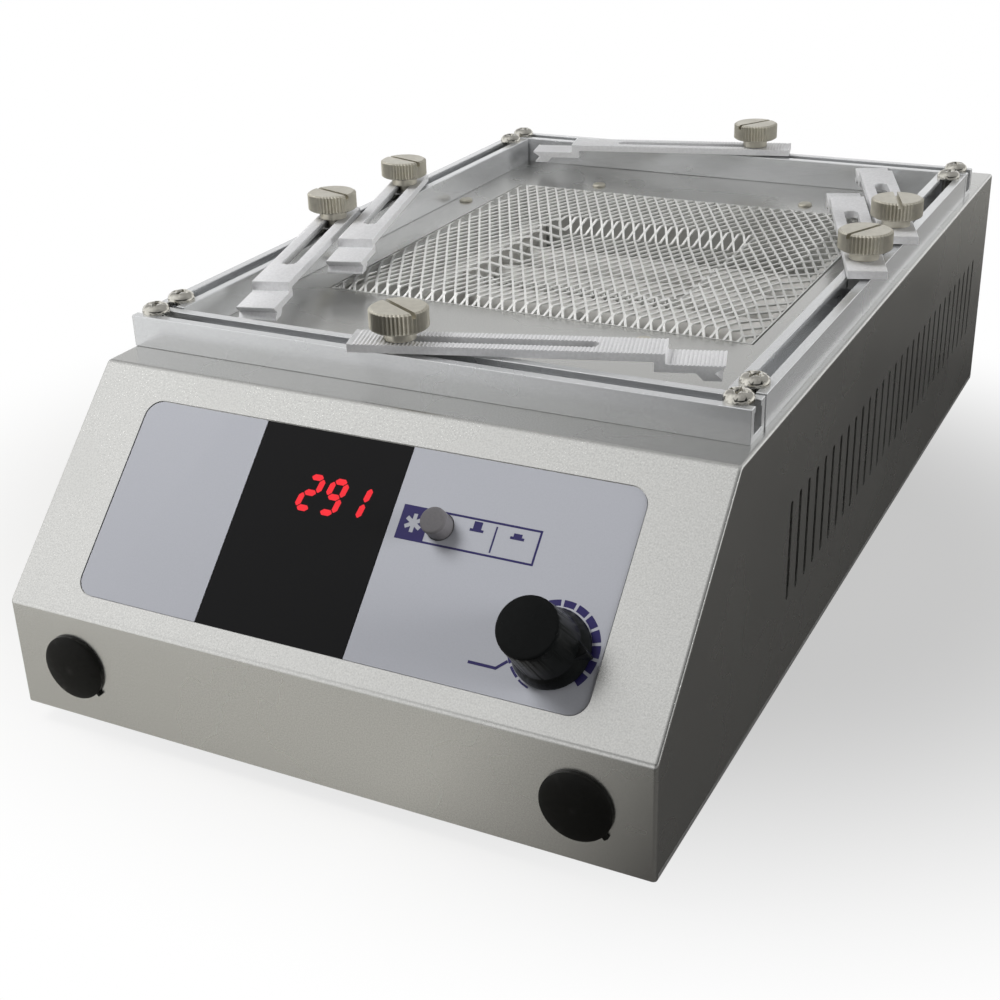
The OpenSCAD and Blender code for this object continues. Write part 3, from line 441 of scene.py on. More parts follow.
class Graph:
    """Adds nodes to one shader tree and links them."""

    def __init__(self, tree):
        self.nodes = tree.nodes
        self.links = tree.links

    def feed(self, socket, value):
        """Gives an input a plain value, or a link from an output."""
        if isinstance(value, bpy.types.NodeSocket):
            self.links.new(value, socket)
        else:
            socket.default_value = value

    def add(self, kind, inputs=(), **settings):
        """A node of one kind with its settings and what its inputs get, by name or number."""
        node = self.nodes.new(kind)
        for key, value in settings.items():
            setattr(node, key, value)
        for key, value in dict(inputs).items():
            self.feed(node.inputs[key], value)
        return node

    def ramp(self, value, span, levels, **settings):
        """A value carried from one span to another, and held level beyond it."""
        names = ("Value", "From Min", "From Max", "To Min", "To Max")
        node = self.add("ShaderNodeMapRange", zip(names, (value, *span, *levels)), **settings)
        return node.outputs["Result"]

    def shade(self, value, tints, span=(0.0, 1.0)):
        """A colour between two, chosen by a value within a span."""
        node = self.add("ShaderNodeValToRGB", {"Fac": value})
        for element, tint, place in zip(node.color_ramp.elements, tints, span):
            element.color = (*tint, 1.0)
            element.position = place
        return node.outputs["Color"]

    def times(self, first, second):
        """The product of two values."""
        return self.add("ShaderNodeMath", {0: first, 1: second}, operation="MULTIPLY").outputs[0]

    def blend(self, share, first, second):
        """A blend from one value to another."""
        return self.add("ShaderNodeMix", {"Factor": share, "A": first, "B": second}).outputs["Result"]


def effect_group(name, inputs, outputs):
    """A new node group with named inputs, each with its default, and named value outputs."""
    tree = bpy.data.node_groups.new(name, "ShaderNodeTree")
    for socket, default in inputs.items():
        kind = "NodeSocketVector" if isinstance(default, tuple) else "NodeSocketFloat"
        tree.interface.new_socket(name=socket, in_out="INPUT", socket_type=kind).default_value = default
    for socket in outputs:
        tree.interface.new_socket(name=socket, in_out="OUTPUT", socket_type="NodeSocketFloat")
    return tree


def speckle_group():
    """Fine grain, as of flakes in paint or a blasted surface, with a softer broad cloud."""
    if "speckle" in bpy.data.node_groups:
        return bpy.data.node_groups["speckle"]
    tree = effect_group("speckle", {"Grain Scale": 1500.0, "Cloud Scale": 25.0}, ("Grain", "Cloud"))
    graph = Graph(tree)
    entry, leave = graph.add("NodeGroupInput"), graph.add("NodeGroupOutput")
    place = graph.add("ShaderNodeTexCoord").outputs["Object"]
    for name, detail in (("Grain", 2.0), ("Cloud", 3.0)):
        noise = graph.add("ShaderNodeTexNoise", {
            "Vector": place, "Scale": entry.outputs[name + " Scale"], "Detail": detail})
        graph.feed(leave.inputs[name], noise.outputs["Fac"])
    return tree


def streak_group():
    """Fine lines drawn out along one direction, as on extruded or turned metal."""
    if "streaks" in bpy.data.node_groups:
        return bpy.data.node_groups["streaks"]
    tree = effect_group("streaks", {"Stretch": (40.0, 2500.0, 2500.0)}, ("Lines",))
    graph = Graph(tree)
    entry, leave = graph.add("NodeGroupInput"), graph.add("NodeGroupOutput")
    place = graph.add("ShaderNodeTexCoord").outputs["Object"]
    mapping = graph.add("ShaderNodeMapping", {"Vector": place, "Scale": entry.outputs["Stretch"]})
    noise = graph.add("ShaderNodeTexNoise", {
        "Vector": mapping.outputs["Vector"], "Scale": 1.0, "Detail": 3.0})
    graph.feed(leave.inputs["Lines"], noise.outputs["Fac"])
    return tree


# Finishes

class Finish(Graph):
    """A material built from one surface shader and the shared effects."""

    # The range in which most of a pattern's values lie
    span = (0.3, 0.7)

    def __init__(self, name, tint, metallic, roughness, **sockets):
        self.material = bpy.data.materials.new(name + "_finish")
        self.material.use_nodes = True
        super().__init__(self.material.node_tree)
        self.shader = self.nodes["Principled BSDF"].inputs
        self.tint = Vector(tint)
        self.shader["Base Color"].default_value = (*tint, 1.0)
        self.shader["Metallic"].default_value = metallic
        self.shader["Roughness"].default_value = sum(roughness) / 2
        for socket, value in sockets.items():
            self.shader[socket.replace("_", " ")].default_value = value

    def effect(self, tree, values):
        """Places a shared effect with its own values."""
        return self.add("ShaderNodeGroup", values, node_tree=tree).outputs

    def vary(self, grain, gloss, shade, roughness):
        """Lets one value darken the tint by a share, and another move the roughness between two levels."""
        tints = (self.tint * (1 - shade), self.tint)
        self.feed(self.shader["Base Color"], self.shade(grain, tints, self.span))
        self.feed(self.shader["Roughness"], self.ramp(gloss, self.span, roughness))

    def relief(self, height, strength, depth):
        """Lets a value raise and lower the surface."""
        bump = self.add("ShaderNodeBump", {"Strength": strength, "Distance": depth, "Height": height})
        self.feed(self.shader["Normal"], bump.outputs["Normal"])


def speckled(name, tint, metallic, roughness, grain, cloud, shade, relief, **sockets):
    """A finish with grain in its colour and relief, and broad clouds in its gloss."""
    finish = Finish(name, tint, metallic, roughness, **sockets)
    effect = finish.effect(speckle_group(), {"Grain Scale": grain, "Cloud Scale": cloud})
    finish.vary(effect["Grain"], effect["Cloud"], shade, roughness)
    if relief:
        finish.relief(effect["Grain"], relief, 0.05 * MM)
    return finish.material


def streaked(name, tint, metallic, roughness, stretch, shade, relief):
    """A finish with fine lines in its colour, gloss and relief."""
    finish = Finish(name, tint, metallic, roughness)
    effect = finish.effect(streak_group(), {"Stretch": stretch})
    finish.vary(effect["Lines"], effect["Lines"], shade, roughness)
    finish.relief(effect["Lines"], relief, 0.02 * MM)
    return finish.material


def made_once(make):
    """Makes a finish at its first use, under its function's name, and gives the same one after that."""
    name = make.__name__

    def finish():
        return bpy.data.materials.get(name + "_finish") or make(name)
    return finish


@made_once
def silver_paint(name):
    """Silver paint with fine flakes."""
    return speckled(name, colours().paint, metallic=0.97, roughness=(0.24, 0.30), grain=2400.0, cloud=22.0,
                    shade=0.20, relief=0.05)


@made_once
def plain_sheet(name):
    """Unpainted steel sheet."""
    return speckled(name, (0.60, 0.60, 0.59), metallic=0.9, roughness=(0.38, 0.5), grain=600.0, cloud=60.0,
                    shade=0.15, relief=0.04)


@made_once
def rail_metal(name):
    """Anodised rails with a satin face."""
    return speckled(name, colours().rail, metallic=0.75, roughness=(0.22, 0.28), grain=2200.0, cloud=30.0,
                    shade=0.10, relief=0.03)


@made_once
def arm_metal(name):
    """Bright cast clamp arms."""
    return speckled(name, colours().arm, metallic=0.6, roughness=(0.36, 0.46), grain=1200.0, cloud=80.0,
                    shade=0.10, relief=0.05)


@made_once
def nickel(name):
    """Warm satin plating of the thumb screws."""
    return speckled(name, colours().nickel, metallic=0.85, roughness=(0.28, 0.38), grain=500.0, cloud=120.0,
                    shade=0.12, relief=0.02)


@made_once
def bright_nickel(name):
    """Polished plating of the rail screws."""
    return speckled(name, (0.66, 0.64, 0.58), metallic=1.0, roughness=(0.10, 0.16), grain=500.0, cloud=150.0,
                    shade=0.15, relief=0.02)


@made_once
def zinc(name):
    """Grey plating of nuts, washers and small fittings."""
    return speckled(name, (0.55, 0.55, 0.53), metallic=0.95, roughness=(0.28, 0.42), grain=400.0, cloud=90.0,
                    shade=0.18, relief=0.03)


@made_once
def guard_metal(name):
    """Pale expanded metal."""
    return speckled(name, colours().mesh, metallic=0.4, roughness=(0.32, 0.46), grain=900.0, cloud=70.0,
                    shade=0.10, relief=0.05)


@made_once
def reflector_metal(name):
    """Rolled reflector sheet with lines along its length."""
    return streaked(name, (0.52, 0.52, 0.50), metallic=0.6, roughness=(0.36, 0.5),
                    stretch=(80.0, 2200.0, 2200.0), shade=0.10, relief=0.04)


@made_once
def ceramic(name):
    """White fired ceramic."""
    return speckled(name, (0.86, 0.85, 0.82), metallic=0.0, roughness=(0.6, 0.75), grain=1200.0, cloud=60.0,
                    shade=0.10, relief=0.08)


@made_once
def quartz(name):
    """Milky heater tubes."""
    return speckled(name, (0.84, 0.83, 0.80), metallic=0.0, roughness=(0.2, 0.3), grain=300.0, cloud=50.0,
                    shade=0.08, relief=0.02)


@made_once
def label_film(name):
    """Grey satin film."""
    return speckled(name, colours().label, metallic=0.0, roughness=(0.40, 0.48), grain=2600.0, cloud=18.0,
                    shade=0.05, relief=0.02)


@made_once
def ink(name):
    """Printed ink, flat on the film."""
    return speckled(name, colours().ink, metallic=0.0, roughness=(0.45, 0.55), grain=3000.0, cloud=90.0,
                    shade=0.12, relief=0.0)


@made_once
def display_smoke(name):
    """Dark display window that hardly mirrors."""
    return speckled(name, (0.009, 0.009, 0.0095), metallic=0.0, roughness=(0.30, 0.36), grain=2600.0,
                    cloud=30.0, shade=0.10, relief=0.01, Specular_IOR_Level=0.08)


def black_plastic(name, tint, roughness, grain, gloss):
    """A moulded black plastic, with its own grain and gloss."""
    return speckled(name, tint, metallic=0.0, roughness=roughness, grain=grain, cloud=60.0,
                    shade=0.25, relief=0.06, Specular_IOR_Level=gloss)


@made_once
def plug_plastic(name):
    """Soft black plastic of the hole plugs."""
    return black_plastic(name, colours().plug, roughness=(0.35, 0.45), grain=800.0, gloss=0.12)


@made_once
def knob_plastic(name):
    """Smooth black plastic of the knob."""
    return black_plastic(name, colours().knob, roughness=(0.22, 0.32), grain=900.0, gloss=0.09)


@made_once
def switch_plastic(name):
    """Hard black plastic of the switches and the inlet."""
    return black_plastic(name, (0.014, 0.014, 0.014), roughness=(0.4, 0.5), grain=800.0, gloss=0.22)


@made_once
def button_plastic(name):
    """Grey plastic of the push button."""
    return speckled(name, colours().button, metallic=0.0, roughness=(0.42, 0.52), grain=1500.0, cloud=90.0,
                    shade=0.12, relief=0.04)


@made_once
def rubber(name):
    """Black rubber feet."""
    return speckled(name, (0.012, 0.012, 0.012), metallic=0.0, roughness=(0.65, 0.8), grain=900.0, cloud=90.0,
                    shade=0.3, relief=0.12)


@made_once
def board_mask(name):
    """Green mask of the boards."""
    return speckled(name, (0.03, 0.16, 0.06), metallic=0.0, roughness=(0.3, 0.45), grain=500.0, cloud=200.0,
                    shade=0.25, relief=0.03)


@made_once
def laminations(name):
    """Stacked dark sheets of the transformer."""
    return streaked(name, (0.12, 0.11, 0.10), metallic=0.6, roughness=(0.4, 0.6),
                    stretch=(60.0, 60.0, 2000.0), shade=0.4, relief=0.2)


@made_once
def digit_glow(name):
    """Lit red segments, a little uneven like the chips behind them."""
    finish = Finish(name, (0.05, 0.0, 0.0), metallic=0.0, roughness=(0.4, 0.4))
    effect = finish.effect(speckle_group(), {"Grain Scale": 900.0, "Cloud Scale": 200.0})
    glow = Vector(colours().glow)
    finish.feed(finish.shader["Emission Color"], finish.shade(effect["Cloud"], (glow * 0.75, glow)))
    finish.shader["Emission Strength"].default_value = 1.0
    return finish.material


# Operators, one for each group of pieces

class PREHEATER_OT_case(bpy.types.Operator):
    """Case cover, base plate, rear panel, feet, screws and hole plugs"""

    bl_idname = "preheater.case"
    bl_label = "Case"
    bl_options = {"REGISTER", "UNDO"}

    def execute(self, context):
        s = sizes()
        self.cover()
        dress("rear_panel", silver_paint())
        dress("base_plate", plain_sheet())
        softened("feet", rubber(), s.fine_edge)
        softened("case_screws", zinc(), s.screw_edge)
        self.plugs()
        return {"FINISHED"}

    def cover(self):
        """The folded cover: a block cut to the slope, with round folds, hollowed and cut out."""
        s = sizes()
        lo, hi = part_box("case_cover")
        piece = self.sloped(lo, hi, 0)
        piece.name = "case_cover_piece"

        def across(a, b):
            """Whether an edge is a fold across the case."""
            return abs(a.x - b.x) > TINY and min(a.z, b.z) > lo.z + TINY and max(a.y, b.y) < hi.y - TINY

        def aside(a, b):
            """Whether an edge is a fold between a side and the rest."""
            low, back = max(a.z, b.z) < lo.z + TINY, min(a.y, b.y) > hi.y - TINY
            return abs(a.x - b.x) < TINY and not low and not back

        fold(piece, across, s.bend_r * math.tan(s.slope_angle / 2), 6)
        fold(piece, aside, s.case_edge, 4)
        wall = Vector((s.sheet, s.sheet, -MM))
        carve(piece, self.sloped(lo + wall, hi - Vector((s.sheet, -MM, s.sheet)), s.sheet))
        self.strips(piece, lo, hi)
        for cutter in self.cutters(lo, hi):
            carve(piece, cutter)
        level_shading(smooth(outwards(piece), 30))
        stand_for(piece, "case_cover", silver_paint())

    def sloped(self, lo, hi, depth):
        """A block whose upper front is cut off along the slope, or at a depth under it."""
        normal = slope_normal()
        point = slope_point() - normal * depth
        return outwards(slice_at(block(lo, hi), point, normal, clear_outer=True, use_fill=True))

    def cutters(self, lo, hi):
        """What is cut out of the cover: foot of the sides, heater window, pocket, holes and vents."""
        s = sizes()
        base_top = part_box("base_plate")[0].z + s.sheet
        yield block((lo.x - MM, lo.y + s.sheet, lo.z - MM), (hi.x + MM, hi.y + MM, base_top))
        inset = Vector((s.flange_w, s.flange_w, 0))
        guard_lo, guard_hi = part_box("mesh_guard")
        low, high = guard_lo + inset, guard_hi - inset
        yield block((low.x, low.y, hi.z - 5 * MM), (high.x, high.y, hi.z + MM))
        pocket = rounded_slab(s.label_w + s.pocket_gap, s.label_h + s.pocket_gap, 0, 2 * MM, s.pocket_r)
        yield on_label(pocket, 0, 0, -s.label_t / 2)
        through = 8 * MM
        pane = Vector((s.pane_w / 2, s.pane_h / 2, through / 2))
        yield on_label(block(-pane, pane), s.digits_x, s.digits_up, 0)
        for x, up in ((s.button_x, s.button_up), (s.knob_x, s.knob_up)):
            yield on_label(drum(s.control_d / 2, through), x, up, 0)
        for x, z, radius in self.plug_places():
            yield drum(radius - s.plug_rim, through, rotation=(math.radians(90), 0, 0), location=(x, lo.y, z))
        yield self.vents(lo, hi)

    def plug_places(self):
        """Middle, height and radius of each hole plug."""
        lo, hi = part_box("hole_plugs")
        radius = (hi.z - lo.z) / 2
        return [(x, (lo.z + hi.z) / 2, radius) for x in (lo.x + radius, hi.x - radius)]

    def vent_count(self, lo, hi):
        """How many vents fit along a side."""
        s = sizes()
        return math.floor((hi.y - lo.y - s.vent_front - s.vent_rear) / s.vent_pitch) + 1

    def strips(self, piece, lo, hi):
        """Parts the cover's flat faces between the vents, so that each strip holds one slot."""
        s = sizes()
        for i in range(self.vent_count(lo, hi) + 1):
            slice_at(piece, (0, lo.y + s.vent_front + (i - 0.5) * s.vent_pitch, 0), (0, 1, 0))

    def vents(self, lo, hi):
        """Upright slots with round ends, through both sides."""
        s = sizes()
        slot = rounded_slab(s.vent_w, s.vent_h, -hi.x - MM, hi.x + MM, s.vent_w / 2 - TINY)
        slot.rotation_euler = (math.radians(90), 0, math.radians(90))
        slot.location = (0, lo.y + s.vent_front, lo.z + s.vent_z + s.vent_h / 2)
        return modify(
            settle(slot), "ARRAY", count=self.vent_count(lo, hi), use_relative_offset=False,
            use_constant_offset=True, constant_offset_displace=(0, s.vent_pitch, 0))

    def plugs(self):
        """The two domed plugs, each with a small prising nub at its edge."""
        plugs = smooth(cad_copy("hole_plugs", "hole_plugs_piece"), 40)
        face_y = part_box("case_cover")[0].y
        nub_w, nub_out, nub_h = 3.2 * MM, 1.0 * MM, 1.4 * MM
        turn = math.radians(50)
        nubs = []
        for x, z, radius in self.plug_places():
            nub = block((-nub_w / 2, -nub_out, -nub_h / 2), (nub_w / 2, 0, nub_h / 2))
            round_edges(nub, 0.3 * MM)
            reach = radius - nub_out / 2
            nub.rotation_euler = (0, turn, 0)
            nub.location = (x + reach * math.sin(turn), face_y, z - reach * math.cos(turn))
            nubs.append(settle(nub))
        piece = join([plugs, *nubs], "hole_plugs_piece")
        stand_for(piece, "hole_plugs", plug_plastic())


class PREHEATER_OT_label(bpy.types.Operator):
    """Label film with its printed lines, the display window and its digits"""

    bl_idname = "preheater.label"
    bl_label = "Label and display"
    bl_options = {"REGISTER", "UNDO"}

    def execute(self, context):
        edge = sizes().film_edge
        softened("label_panel", label_film(), edge, flat=True)
        softened("display_window", display_smoke(), edge, flat=True)
        self.button_marks()
        self.dial_marks()
        self.digits()
        return {"FINISHED"}

    def flat_bar(self, x0, x1, y0, y1):
        """A printed bar on the flat."""
        return block((x0, y0, 0), (x1, y1, sizes().ink_t))

    def print_ink(self, bars, name, x, up):
        """Joins printed bars and lays them on the label."""
        piece = outwards(join(bars, name))
        on_label(piece, x, up, sizes().label_t / 2)
        ride_with(piece, "base", ink())

    def button_marks(self):
        """Framed field round the button: a filled end with a star, a divider, a raised and a pressed key."""
        left, right = 12.3 * MM, 51.1 * MM
        low, high = 4.25 * MM, 13.45 * MM
        line = 0.55 * MM
        fill = 8.0 * MM
        divider = 38.75 * MM
        bars = [
            self.flat_bar(left, right, high - line, high),
            self.flat_bar(left, right, low, low + line),
            self.flat_bar(right - line, right, low + line, high - line),
            self.flat_bar(divider, divider + 0.45 * MM, low + 1.1 * MM, high - 1.2 * MM),
        ]
        field = self.flat_bar(left, left + fill, low + line, high - line)
        star_mid = Vector((left + fill / 2, (low + high) / 2 + 0.1 * MM, 0))
        ray = Vector((2.5 * MM, 0.55 * MM, 1 * MM))
        for turn in (90, 150, 210):
            cutter = block(-ray, ray)
            cutter.rotation_euler = (0, 0, math.radians(turn))
            cutter.location = star_mid
            carve(field, settle(cutter))
        bars.append(field)
        foot, sole = 9.9 * MM, 10.6 * MM
        sole_half, cap_half = 1.9 * MM, 1.15 * MM
        for x, cap in ((33.8 * MM, 2.0 * MM), (45.0 * MM, 0.9 * MM)):
            bars.append(self.flat_bar(x - sole_half, x + sole_half, foot, sole))
            bars.append(self.flat_bar(x - cap_half, x + cap_half, sole, sole + cap))
        self.print_ink(bars, "button_marks", 0, 0)

    def arc_bar(self, inner, outer, start, sweep):
        """A printed bar bent round the origin, between two radii."""
        deselect()
        bpy.ops.mesh.primitive_plane_add(size=1.0)
        piece = bpy.context.object
        select_where(piece, "VERT", lambda co: co.x < 0)
        bpy.ops.mesh.delete(type="VERT")
        done()
        for vertex, radius in zip(piece.data.vertices, (inner, outer)):
            vertex.co = (radius * math.cos(start), radius * math.sin(start), 0)
        edit(piece)
        bpy.ops.mesh.spin(steps=6, angle=sweep, center=(0, 0, 0), axis=(0, 0, 1))
        bpy.ops.mesh.select_all(action="SELECT")
        bpy.ops.mesh.normals_make_consistent(inside=False)
        done()
        return modify(piece, "SOLIDIFY", thickness=sizes().ink_t, offset=0.0)

    def dial_marks(self):
        """Ring of bars that widen clockwise round the knob, and a line that leads to it."""
        outer = 11.65 * MM
        thin, thick = 0.5 * MM, 2.6 * MM
        count, lead, filled = 15, 0.12, 0.8
        first, last = math.radians(240), math.radians(-60)
        step = (last - first) / count
        bars = []
        for i in range(count):
            width = thin + (thick - thin) * i / (count - 1)
            start = first + step * (i + lead)
            bars.append(self.arc_bar(outer - width, outer, start, step * filled))
        line_end = -12.4 * MM
        bars.append(self.flat_bar(-20.1 * MM, line_end, -8.6 * MM, -7.85 * MM))
        tail = self.flat_bar(0, 3.4 * MM, -0.37 * MM, 0.37 * MM)
        tail.rotation_euler = (0, 0, math.radians(43))
        tail.location = (line_end - 0.25 * MM, -8.22 * MM, 0)
        bars.append(settle(tail))
        above_knob = 0.8 * MM
        self.print_ink(bars, "dial_marks", sizes().knob_x, sizes().knob_up + above_knob)

    def digits(self):
        """Three slanted seven-bar digits, just in front of the window."""
        s = sizes()
        lit = {"1": "bc", "2": "abdeg", "9": "abcdfg"}
        high = s.digit_h
        wide, bar, pitch = high * 0.46, high * 0.19, high * 0.82
        places = {
            "a": (0, high / 2, 0), "g": (0, 0, 0), "d": (0, -high / 2, 0),
            "f": (-wide / 2, high / 4, 90), "b": (wide / 2, high / 4, 90),
            "e": (-wide / 2, -high / 4, 90), "c": (wide / 2, -high / 4, 90),
        }
        bars = []
        for i, figure in enumerate("291"):
            for key in lit[figure]:
                x, y, turn = places[key]
                run = (wide if turn == 0 else high / 2) - 1.25 * bar
                segment = self.segment(run, bar)
                segment.rotation_euler = (0, 0, math.radians(turn))
                segment.location = (x + (i - 1) * pitch, y, 0)
                bars.append(settle(segment))
        piece = join(bars, "display_digits")
        slant = Matrix.Identity(4)
        slant[0][1] = math.tan(math.radians(9))
        piece.data.transform(slant)
        on_label(outwards(piece), s.digits_x, s.digits_up, s.label_t / 2)
        ride_with(piece, "base", digit_glow())

    def segment(self, run, bar):
        """One display bar with pointed ends."""
        piece = self.flat_bar(-run / 2, run / 2, -bar / 2, bar / 2)
        tip = bar * 0.42
        for end in (-1, 1):
            select_where(piece, "FACE", lambda centre, normal: normal.x * end > 0.9)
            bpy.ops.mesh.extrude_region_move(TRANSFORM_OT_translate={"value": (end * tip, 0, 0)})
            bpy.ops.transform.resize(value=(1, 0.2, 1))
            done()
        return piece


class PREHEATER_OT_controls(bpy.types.Operator):
    """Knob and push button"""

    bl_idname = "preheater.controls"
    bl_label = "Controls"
    bl_options = {"REGISTER", "UNDO"}

    def execute(self, context):
        softened("temperature_knob", knob_plastic(), sizes().fine_edge)
        softened("push_button", button_plastic(), sizes().small_edge)
        for node in ("potentiometer", "potentiometer_nut", "potentiometer_shaft"):
            dress(node, zinc())
        dress("button_switch", switch_plastic())
        return {"FINISHED"}


class PREHEATER_OT_rails(bpy.types.Operator):
    """The four rails, and their screws with cross recesses"""

    bl_idname = "preheater.rails"
    bl_label = "Rail frame"
    bl_options = {"REGISTER", "UNDO"}

    def execute(self, context):
        for node in ("front_rail", "rear_rail", "left_rail", "right_rail"):
            softened(node, rail_metal(), sizes().fine_edge)
        dress("rail_nuts", zinc())
        self.screws()
        return {"FINISHED"}

    def screw_axes(self):
        """Where the rail screws stand, read from the ends of the rails."""
        lo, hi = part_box("rail_screws")
        head_r, end_gap = 4.0 * MM, 0.5 * MM
        side_lo, side_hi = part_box("left_rail")
        inset = (side_hi.x - side_lo.x) / 2 + end_gap
        columns = (lo.x + head_r, hi.x - head_r)
        rows = (lo.y + head_r, hi.y - head_r, side_lo.y + inset, side_hi.y - inset)
        return [(x, y) for x in columns for y in rows]

    def screws(self):
        """Pan heads with a cross cut into each."""
        piece = cad_copy("rail_screws", "rail_screws_piece")
        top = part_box("rail_screws")[1].z
        reach, half_w, depth = 2.5 * MM, 0.7 * MM, 1.6 * MM
        first_turn, next_turn = 25, 37
        arms = []
        for i, (x, y) in enumerate(self.screw_axes()):
            for turn in (0, 90):
                arm = block((-reach, -half_w, -depth), (reach, half_w, MM))
                arm.rotation_euler = (0, 0, math.radians(turn + first_turn + next_turn * i))
                arm.location = (x, y, top)
                arms.append(settle(arm))
        crosses = join(arms, "crosses")
        modify(piece, "BOOLEAN", operation="DIFFERENCE", object=crosses, solver="EXACT", use_self=True)
        remove(crosses)
        smooth(piece, 40)
        stand_for(piece, "rail_screws", bright_nickel())


class PREHEATER_OT_guard(bpy.types.Operator):
    """Expanded-metal guard with its rim, recess and flange, and its screws"""

    bl_idname = "preheater.guard"
    bl_label = "Guard"
    bl_options = {"REGISTER", "UNDO"}

    def execute(self, context):
        s = sizes()
        lo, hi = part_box("mesh_guard")
        edge = s.flange_w + s.guard_gap
        self.mid = (lo + hi) / 2
        self.half = Vector(((hi.x - lo.x) / 2 - edge, (hi.y - lo.y) / 2 - edge, 0))
        self.case_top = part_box("case_cover")[1].z
        self.low_z = self.case_top - s.sheet - s.guard_t
        form = self.form()
        piece = self.lattice()
        modify(piece, "SHRINKWRAP", target=form, wrap_method="PROJECT", use_project_z=True,
               use_negative_direction=True)
        remove(form)
        modify(piece, "SOLIDIFY", thickness=s.guard_t, offset=-1.0)
        piece = join([piece, *self.edges()], "mesh_guard_piece")
        stand_for(piece, "mesh_guard", guard_metal())
        softened("guard_screws", nickel(), s.screw_edge)
        return {"FINISHED"}

    def form(self):
        """The guard's top face as a solid block: sloped margins round a middle with a pressed recess."""
        s = sizes()
        low, high = self.mid - self.half, self.mid + self.half
        piece = block((low.x, low.y, self.low_z), (high.x, high.y, self.case_top), "form")
        select_where(piece, "FACE", lambda centre, normal: normal.z > 0.9)
        bpy.ops.mesh.inset(thickness=s.guard_run)
        bpy.ops.transform.translate(value=(0, 0, s.guard_rise))
        done()
        rim_z = self.case_top + s.guard_rise
        select_where(piece, "VERT", lambda co: co.z > rim_z - TINY and co.y < self.mid.y)
        bpy.ops.transform.translate(value=(0, s.guard_front_run - s.guard_run, 0))
        done()
        select_where(piece, "FACE", lambda centre, normal: centre.z > rim_z - TINY)
        bpy.ops.mesh.inset(thickness=s.guard_run)
        done()
        inner_w = 2 * self.half.x - 4 * s.guard_run
        inner_d = 2 * self.half.y - 3 * s.guard_run - s.guard_front_run
        inner_y = self.mid.y + (s.guard_front_run - s.guard_run) / 2
        select_where(piece, "FACE", lambda centre, normal: (
            centre.z > rim_z - TINY and abs(centre.y - inner_y) < TINY and abs(centre.x - self.mid.x) < TINY))
        bpy.ops.transform.resize(value=(s.recess_w / inner_w, s.recess_d / inner_d, 1))
        bpy.ops.transform.translate(value=(s.recess_right, self.mid.y - s.recess_front - inner_y, 0))
        bpy.ops.mesh.inset(thickness=s.recess_run)
        bpy.ops.transform.translate(value=(0, 0, -s.recess_drop))
        done()
        return piece

    def lattice(self):
        """A flat lattice over the window, cut along the guard's folds."""
        s = sizes()
        count = 4 * math.ceil(max(self.half.x / s.cell_x, self.half.y / s.cell_y)) + 4
        root = math.sqrt(0.5)
        deselect()
        bpy.ops.mesh.primitive_grid_add(x_subdivisions=count, y_subdivisions=count, size=count)
        piece = bpy.context.object
        piece.rotation_euler = (0, 0, math.radians(45))
        settle(piece)
        piece.scale = (s.cell_x * root, s.cell_y * root, 1)
        settle(piece)
        over_form = 5 * MM
        piece.location = (self.mid.x, self.mid.y, self.case_top + s.guard_rise + over_form)
        settle(piece)
        self.trim(piece, self.half + Vector((s.cell_x, s.cell_y, 0)))
        edit(piece)
        bpy.ops.mesh.select_mode(type="FACE")
        bpy.ops.mesh.select_all(action="SELECT")
        bpy.ops.mesh.inset(thickness=s.strand / 2, use_individual=True, use_even_offset=True)
        bpy.ops.mesh.delete(type="FACE")
        done()
        edge_gap = 0.05 * MM
        self.trim(piece, self.half - Vector((edge_gap, edge_gap, 0)))
        return self.folds(piece)

    def trim(self, piece, half):
        """Cuts the lattice back to a rectangle round its middle."""
        for axis in (0, 1):
            for side in (-1, 1):
                normal = Vector((0, 0, 0))
                normal[axis] = side
                slice_at(piece, self.mid + half * side, normal, clear_outer=True)

    def folds(self, piece):
        """Parts the strands where the guard bends."""
        s = sizes()
        recess = self.mid + Vector((s.recess_right, -s.recess_front, 0))
        low, high = self.mid - self.half, self.mid + self.half
        rows = {
            0: [low.x + s.guard_run, high.x - s.guard_run],
            1: [low.y + s.guard_front_run, high.y - s.guard_run],
        }
        for axis, size in ((0, s.recess_w), (1, s.recess_d)):
            for half in (size / 2, size / 2 - s.recess_run):
                rows[axis] += [recess[axis] - half, recess[axis] + half]
        for axis, places in rows.items():
            for place in places:
                point, normal = Vector((0, 0, 0)), Vector((0, 0, 0))
                point[axis] = place
                normal[axis] = 1
                slice_at(piece, point, normal)
        return piece

    def edges(self):
        """Upright edge inside the window, and the flange under the case top."""
        s = sizes()
        made = []
        inner = self.half - Vector((s.guard_t, s.guard_t, 0))
        outer = self.half + Vector((s.flange_w, s.flange_w, 0))
        for near, far, top in ((inner, self.half, self.case_top), (self.half, outer, self.low_z + s.guard_t)):
            for side in (-1, 1):
                across = ((-far.x, side * near.y), (far.x, side * far.y))
                along = ((side * near.x, -near.y), (side * far.x, near.y))
                for (x0, y0), (x1, y1) in (across, along):
                    lo = (self.mid.x + min(x0, x1), self.mid.y + min(y0, y1), self.low_z)
                    hi = (self.mid.x + max(x0, x1), self.mid.y + max(y0, y1), top)
                    made.append(block(lo, hi))
        return made


class PREHEATER_OT_heater(bpy.types.Operator):
    """Reflector tray, quartz tubes, holders and probe"""

    bl_idname = "preheater.heater"
    bl_label = "Heater"
    bl_options = {"REGISTER", "UNDO"}

    def execute(self, context):
        softened("reflector_tray", reflector_metal(), sizes().fitting_edge)
        softened("tube_holders", ceramic(), sizes().holder_edge)
        dress("heater_tubes", quartz())
        dress("temperature_probe", zinc())
        return {"FINISHED"}


